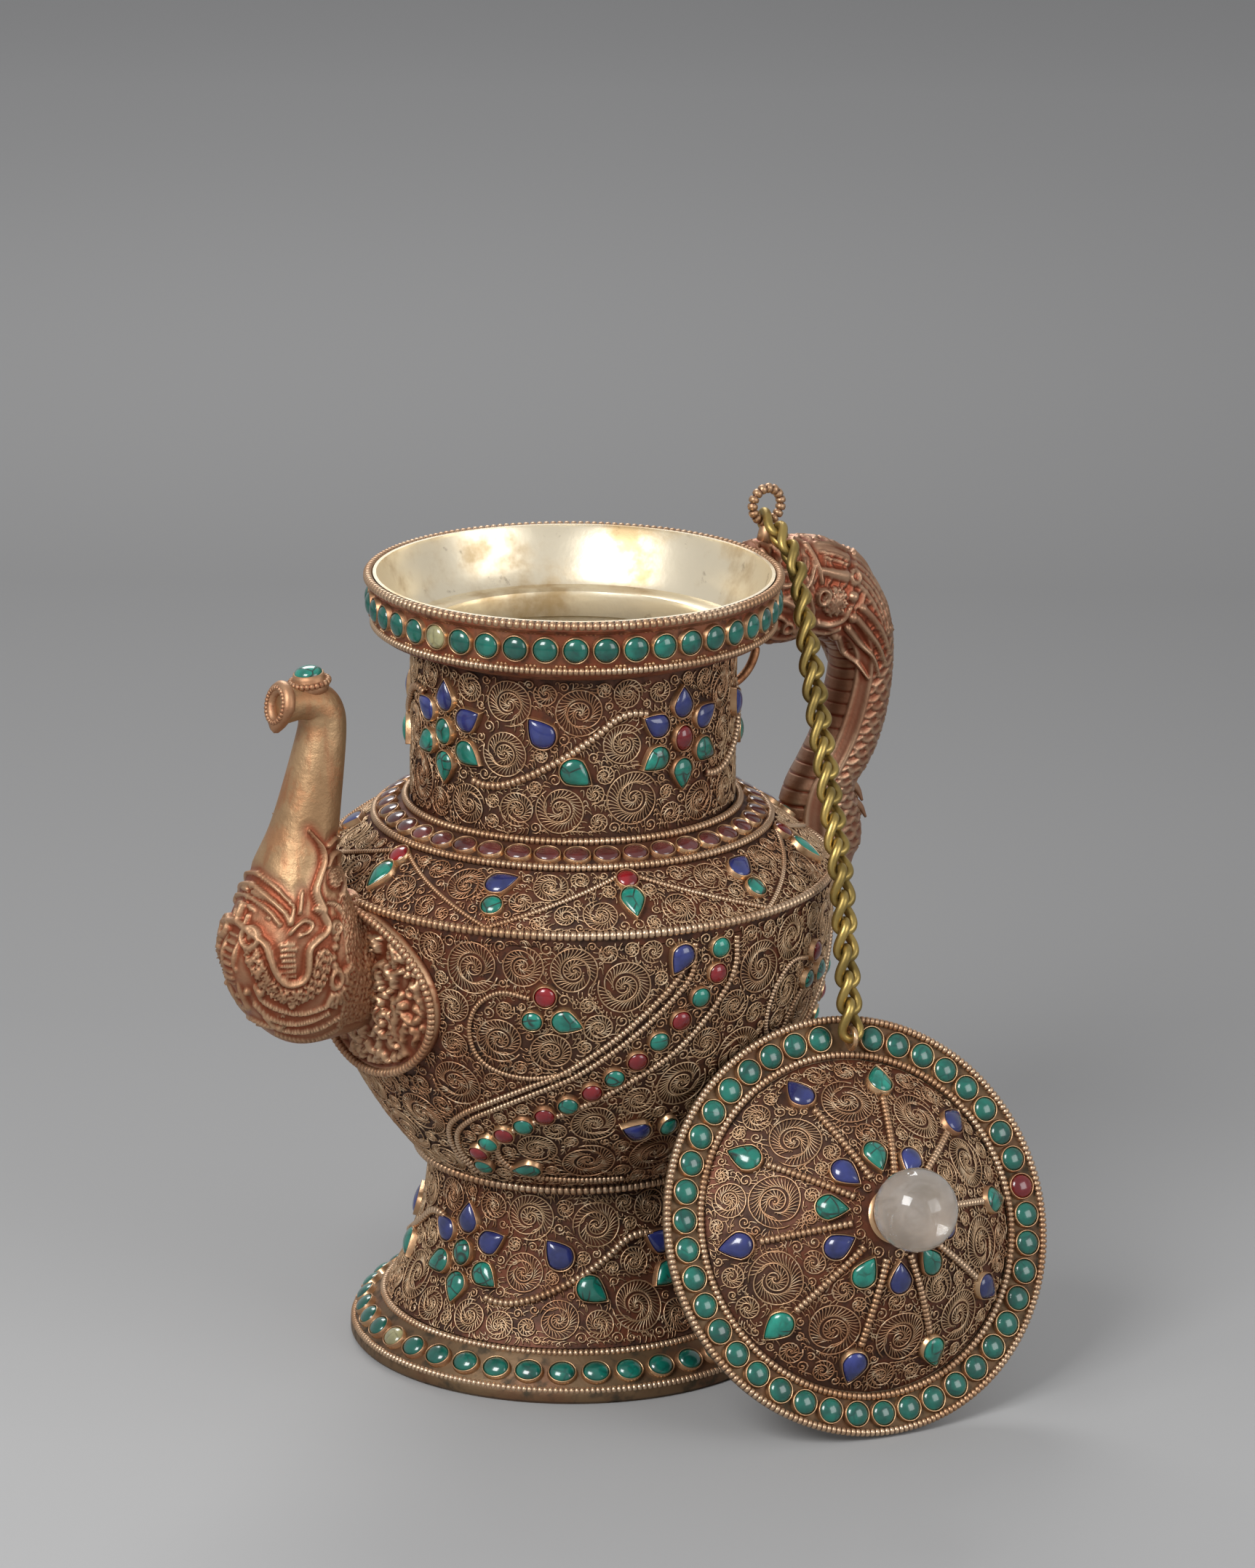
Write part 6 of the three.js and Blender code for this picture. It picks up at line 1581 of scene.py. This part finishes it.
def build_cap():
    matrix = facing((-88.4, 0, 210.2), (-0.126, 0, 0.992))
    gathered = Gathered()
    bezel = [(0, -1.5), (5.0, -1.5), (5.6, 0.4), (5.2, 1.6), (4.6, 3.0), (4.4, 4.2), (3.9, 4.2), (0, 3.6)]
    gathered.add(taken(spun(bezel, 48)).moved(matrix))
    gathered.add(beaded(circle(60, 5.4, 1.6), 2.0, 1.4, loop=True, up=(0, 0, 1)).moved(matrix))
    cast("cap_bezel", gathered.shape(), "chased", "spout_cap")
    stone = MASTER["dome"].scaled(4.1, 4.1, 2.3).moved(matrix @ Matrix.Translation((0, 0, 4.0)))
    ridden(piece("cap_stone", stone, FINISH["turquoise"]), "ewer", "turquoise_band")


def build_boss():
    """An oval plate with a beaded border, filled with cast fruit and leaves"""
    rings, spokes = 64, 260
    shares, turns = np.meshgrid(np.linspace(0.02, 1, rings), np.arange(spokes) * TAU / spokes, indexing="ij")
    reach = (BOSS_HALF_ARC, BOSS_HALF_HEIGHT)
    places = (np.stack([shares * np.cos(turns), shares * np.sin(turns)], -1) * reach).reshape(-1, 2)
    relief = Relief(np.column_stack([places[:, 0], np.zeros(len(places)), places[:, 1]]))
    relief.worked[:] = 1
    rng = np.random.RandomState(11)
    for _ in range(190):
        turn, share = rng.uniform(0, TAU), math.sqrt(rng.uniform(0.1, 0.8))
        start = np.array([share * math.cos(turn), share * math.sin(turn)]) * reach
        heading, size = rng.uniform(0, TAU), rng.uniform(1.2, 2.6)
        bend = rng.uniform(-0.9, 0.9)
        path = []
        for k in (0, 0.8, 1.6):
            turn, reached = heading + bend * k, size * k
            path.append((start[0] + reached * math.cos(turn), 0, start[1] + reached * math.sin(turn)))
        relief.ridge(path, rng.uniform(0.8, 1.5), rng.uniform(1.2, 2.6), 0.5)
        bud = start + rng.uniform(-2.5, 2.5, 2)
        relief.disc((bud[0], 0, bud[1]), rng.uniform(0.8, 1.6), rng.uniform(1.3, 2.6))
    edge = shares.ravel()
    rim = np.interp(edge, [0.88, 0.91, 0.94, 0.97, 0.985, 1.0], [0, 0.5, 1.5, 1.8, 1.2, -0.7])
    inner = edge < 0.9
    lift = 1.0 + np.where(inner, relief.height * np.clip((0.9 - edge) / 0.04, 0, 1), 0) + rim
    belly = SURFACE["belly"]
    height = BOSS_HEIGHT + places[:, 1]
    runs = np.interp(height, belly.outline[:, 1], belly.runs)
    points = belly.at(math.pi - places[:, 0] / BOSS_BEND, runs, lift)
    wear = worn(lift.reshape(rings, spokes), np.ones((rings, spokes)), 3)
    blocks = [grid_faces(rings, spokes), np.arange(spokes)[::-1][None]]
    gathered = Gathered()
    gathered.add(Shape(points, blocks, wear))
    turns = np.linspace(0, TAU, 121)[:-1]
    heights = BOSS_HEIGHT + np.sin(turns) * BOSS_HALF_HEIGHT * BOSS_BORDER
    arcs = math.pi - np.cos(turns) * BOSS_HALF_ARC * BOSS_BORDER / BOSS_BEND
    path = belly.at(arcs, np.interp(heights, belly.outline[:, 1], belly.runs), 3.1)
    gathered.add(beaded(path, 2.7, 1.75, loop=True))
    cast("boss_cast", gathered.shape(), "chased", "spout_boss")


class EWER_OT_handle(bpy.types.Operator):
    """Models the handle: a scaled dragon with a flame mane, horn, brows and curled jaw"""

    bl_idname = "ewer.handle"
    bl_label = "Handle"

    def execute(self, context):
        grid = loft(HANDLE_RINGS, 0.62, 160)
        relief = Relief(grid.reshape(-1, 3))
        x, _, z = relief.places.T
        relief.worked[:] = 1
        carve_body(relief, grid)
        for start, end, height, path in HANDLE_RIDGES:
            relief.ridge(path, start, height, end)
        first, last = np.array(FEATHERS, float)
        for share in np.linspace(0, 1, 7):
            relief.ridge(first + (last - first) * share, 1.1, 1.5, 0.45)
        relief.disc((84.3, 214.8), 4.6, 2.0)
        relief.pebbles(np.hypot(x - 84.3, z - 214.8) < 4.3, 1.0, 2.5, 5)
        relief.ring((80.3, 216.5), 2.0, 0.85, 2.8)
        relief.ring((92.6, 220.7), 1.8, 0.8, 2.2)
        for centre in ((91.1, 215.1), (91.5, 208.8), (87.5, 203.4)):
            relief.disc(centre, 2.0, 2.4)
        relief.ring((69.5, 208.2), 1.6, 0.8, 2.0)
        relief.disc((69.2, 230.6), 1.6, 2.0)
        relief.disc((66.6, 203.4), 2.6, 1.5)
        gathered = Gathered()
        gathered.add(clear_of_ewer(sculpted(grid, relief, 0.4)))
        add_flames(gathered)
        cast("handle_sculpted", gathered.shape(), "worn", "handle")
        return {"FINISHED"}


def carve_body(relief, grid):
    """Scales on the outer side, then a smooth double band, then a cross-ribbed strap along the inner side"""
    rows, sides = grid.shape[:2]
    middle = grid.mean(1)
    along = np.concatenate([[0], np.cumsum(np.linalg.norm(np.diff(middle, axis=0), axis=1))])
    turns = np.abs((np.arange(sides) * TAU / sides + math.pi) % TAU - math.pi)
    s = np.repeat(along, sides)
    turn = np.tile(turns, rows)
    across = turn * 9.6
    height = relief.places[:, 1]
    body = np.clip((204 - height) / 6, 0, 1) * np.clip((s - 4) / 4, 0, 1)
    scales = scale_height(s, across, 2.5, 4.4) * 1.4
    strap = 0.85 - 0.5 * (np.abs((s / 4.2) % 1 - 0.5) > 0.44)
    band = 0.35 + 0.75 * np.exp(-((turn - 1.83) / 0.09) ** 2) + 0.75 * np.exp(-((turn - 2.3) / 0.09) ** 2)
    kind = np.where(turn < 1.74, scales, np.where(turn < 2.38, band, strap))
    relief.height = np.maximum(relief.height, kind * body)


def scale_height(s, across, pitch, width):
    """Overlapping scales whose round free edges point down along s"""
    height = np.zeros(len(s))
    radius = width * 0.64
    for row in range(-2, int(s.max() / pitch) + 2):
        start = row * pitch
        offset = width / 2 * (row % 2)
        aside = (across - offset + width / 2) % width - width / 2
        reach = np.hypot(aside, s - start) / radius
        inside = reach < 1
        height[inside] = (0.35 + 0.65 * reach[inside] ** 2) * np.clip((1 - reach[inside]) / 0.16, 0, 1)
    return height


def add_flames(gathered):
    """Fins that stand clear of the dragon's back and of its foot"""
    fins = (
        ((101.5, 219), (105.4, 214.6), (107.6, 210)), ((105.4, 210), (108.8, 205), (110.6, 200)),
        ((95.6, 226.4), (100, 223), (103.4, 219)), ((96, 156.4), (99.6, 153), (101.6, 149)),
        ((96.4, 150.4), (100.6, 147.6), (103, 143.6)))
    for path in fins:
        for y in (-2.6, 0.0, 2.6):
            line = resampled([(x, y, z) for x, z in path], 0.8)
            gathered.add(tube(line, np.linspace(1.8, 0.4, len(line)), 10))


class EWER_OT_chain(bpy.types.Operator):
    """Rounds the chain's twisted links"""

    bl_idname = "ewer.chain"
    bl_label = "Chain"

    def execute(self, context):
        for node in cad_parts:
            if node.startswith("chain_link_"):
                rounded(node, f"{node}_wire", FINISH["brass"], "link_" + node[-2:], "chain_brass", 0.5, 1.08)
        rounded("lid_eyelet", "lid_eyelet_wire", FINISH["smooth"], "lid", "cast_gilt", 0.08)
        build_handle_ring()
        rounded("handle_stay", "handle_stay_wire", FINISH["cast"], "ewer", "cast_gilt", 0.1)
        return {"FINISHED"}


def build_handle_ring():
    """The coarse beaded ring that stands on the dragon's head and holds the chain"""
    turns = np.linspace(0, TAU, 73)[:-1]
    ring = np.stack([67 + 5 * np.cos(turns), np.zeros(72), 244.1 + 5 * np.sin(turns)], 1)
    gathered = Gathered()
    gathered.add(beaded(ring, 3.2, 2.1, loop=True, up=(0, 1, 0)))
    gathered.add(tube([(67.3, 0, 233.0), (67.1, 0, 236.0), (67, 0, 239.6)], [3.4, 2.5, 1.6], 14))
    cast("handle_ring_beaded", gathered.shape(), "bead", "handle_ring")


def rounded(node, name, finish, body, slot, swell, size=1.0):
    """A copy of a solid with its facets smoothed away, swelled back to its thickness"""
    obj = bpy.data.objects.new(name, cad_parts[node].data.copy())
    bpy.context.scene.collection.objects.link(obj)
    select_only(obj)
    bpy.ops.object.mode_set(mode="EDIT")
    bpy.ops.mesh.select_all(action="SELECT")
    bpy.ops.mesh.remove_doubles(threshold=MM / 100)
    bpy.ops.mesh.tris_convert_to_quads(face_threshold=1.2, shape_threshold=1.2)
    bpy.ops.object.mode_set(mode="OBJECT")
    modifier = obj.modifiers.new("Rounding", "SUBSURF")
    modifier.levels = modifier.render_levels = 2
    bpy.ops.object.modifier_apply(modifier=modifier.name)
    bpy.ops.object.mode_set(mode="EDIT")
    bpy.ops.mesh.select_all(action="SELECT")
    bpy.ops.transform.shrink_fatten(value=swell * MM)
    middle = sum((corner.co for corner in obj.data.vertices), Vector()) / len(obj.data.vertices)
    bpy.ops.transform.resize(value=(size, size, size), center_override=middle)
    bpy.ops.object.mode_set(mode="OBJECT")
    return dressed(obj, name, finish, body, slot, [node], 180)


class EWER_OT_stage(bpy.types.Operator):
    """Lays the floor, and sets the lamps, the world and the camera"""

    bl_idname = "ewer.stage"
    bl_label = "Stage"

    def execute(self, context):
        build_floor()
        build_world(context.scene)
        build_lamps()
        build_camera(context.scene)
        return {"FINISHED"}


def build_floor():
    clear_selection()
    bpy.ops.mesh.primitive_plane_add(size=14)
    floor = bpy.context.object
    floor.name = "floor"
    tree = Tree("floor_grey")
    place = tree.node("ShaderNodeSeparateXYZ", {}, {0: tree.place})
    place = [Value(tree, output) for output in place.socket.node.outputs]
    away = place[0] * math.cos(CAMERA_HEADING) + place[1] * math.sin(CAMERA_HEADING)
    sides = place[0] * math.sin(CAMERA_HEADING) - place[1] * math.cos(CAMERA_HEADING)
    # Painted light fall-off: the floor's grey is lighter by the ewer, darker behind it and lighter again far back,
    # and a little darker to the right
    stops = [(0.0, (0.335,) * 3), (0.16, (0.24,) * 3), (0.4, (0.185,) * 3), (0.9, (0.34,) * 3)]
    depth = tree.ramp((away + 0.1) * 0.4, stops)
    tree.set(Base_Color=tree.mix(sides.between(-0.25, 0.5) * 0.14, depth, (0.06, 0.06, 0.06)), Roughness=0.9)
    floor.data.materials.append(tree.material)


def build_world(scene):
    world = bpy.data.worlds.new("studio")
    scene.world = world
    world.use_nodes = True
    nodes, links = world.node_tree.nodes, world.node_tree.links
    nodes.clear()
    rays = nodes.new("ShaderNodeLightPath")
    seen, soft = nodes.new("ShaderNodeBackground"), nodes.new("ShaderNodeBackground")
    seen.inputs["Color"].default_value = (0.22, 0.215, 0.214, 1)
    soft.inputs["Color"].default_value = (0.5, 0.5, 0.51, 1)
    mix, out = nodes.new("ShaderNodeMixShader"), nodes.new("ShaderNodeOutputWorld")
    links.new(rays.outputs["Is Camera Ray"], mix.inputs[0])
    links.new(soft.outputs[0], mix.inputs[1])
    links.new(seen.outputs[0], mix.inputs[2])
    links.new(mix.outputs[0], out.inputs["Surface"])


def area_lamp(name, place, aim, size, power):
    light = bpy.data.lights.new(name, "AREA")
    light.shape, light.size, light.size_y, light.energy = "RECTANGLE", size[0], size[1], power
    lamp = bpy.data.objects.new(name, light)
    bpy.context.scene.collection.objects.link(lamp)
    lamp.location = place
    lamp.rotation_euler = (Vector(aim) - Vector(place)).to_track_quat("-Z", "Y").to_euler()


def build_lamps():
    middle = (0, 0, 0.12)
    area_lamp("key", (-1.15, -0.55, 1.15), middle, (0.7, 0.7), 22)
    area_lamp("fill", (0.6, -1.5, 0.7), middle, (0.9, 0.9), 9)
    area_lamp("back", (0.5, 1.2, 1.3), middle, (0.8, 0.6), 12)


def build_camera(scene):
    data = bpy.data.cameras.new("photograph")
    data.sensor_fit, data.sensor_width, data.lens = "HORIZONTAL", 36, CAMERA_LENS
    data.clip_start, data.clip_end = 0.1, 30
    camera = bpy.data.objects.new("photograph", data)
    scene.collection.objects.link(camera)
    right = Vector((math.sin(CAMERA_HEADING), -math.cos(CAMERA_HEADING), 0))
    ahead = direction_of(CAMERA_HEADING, CAMERA_PITCH)
    up = right.cross(ahead)
    cosine, sine = math.cos(CAMERA_ROLL), math.sin(CAMERA_ROLL)
    right, up = right * cosine - up * sine, right * sine + up * cosine
    matrix = Matrix((right, up, -ahead)).transposed().to_4x4()
    matrix.translation = CAMERA_PLACE
    camera.matrix_world = matrix
    scene.camera = camera
    scene.view_settings.view_transform = "Standard"


class EWER_PT_panel(bpy.types.Panel):
    """Lists the steps that dress the ewer"""

    bl_label = "Ewer"
    bl_idname = "EWER_PT_panel"
    bl_space_type = "VIEW_3D"
    bl_region_type = "UI"
    bl_category = "Ewer"

    def draw(self, context):
        for group in (context.scene.ewer_sizes, context.scene.ewer_colours):
            for name in group.__annotations__:
                self.layout.prop(group, name)
        for operator in OPERATORS:
            self.layout.operator(operator.bl_idname)


OPERATORS = (
    EWER_OT_sheets, EWER_OT_bands, EWER_OT_neck, EWER_OT_shoulder, EWER_OT_belly, EWER_OT_lid, EWER_OT_spout,
    EWER_OT_handle, EWER_OT_chain, EWER_OT_stage)
CLASSES = (EwerSizes, EwerColours, *OPERATORS, EWER_PT_panel)


def register():
    for cls in CLASSES:
        bpy.utils.register_class(cls)
    bpy.types.Scene.ewer_sizes = bpy.props.PointerProperty(type=EwerSizes)
    bpy.types.Scene.ewer_colours = bpy.props.PointerProperty(type=EwerColours)


def unregister():
    del bpy.types.Scene.ewer_colours
    del bpy.types.Scene.ewer_sizes
    for cls in reversed(CLASSES):
        bpy.utils.unregister_class(cls)


def main():
    register()
    scene = bpy.context.scene
    make_finishes(scene.ewer_colours)
    make_masters(scene.ewer_sizes)
    for operator in OPERATORS:
        group, name = operator.bl_idname.split(".")
        getattr(getattr(bpy.ops, group), name)()


if __name__ == "__main__":
    main()
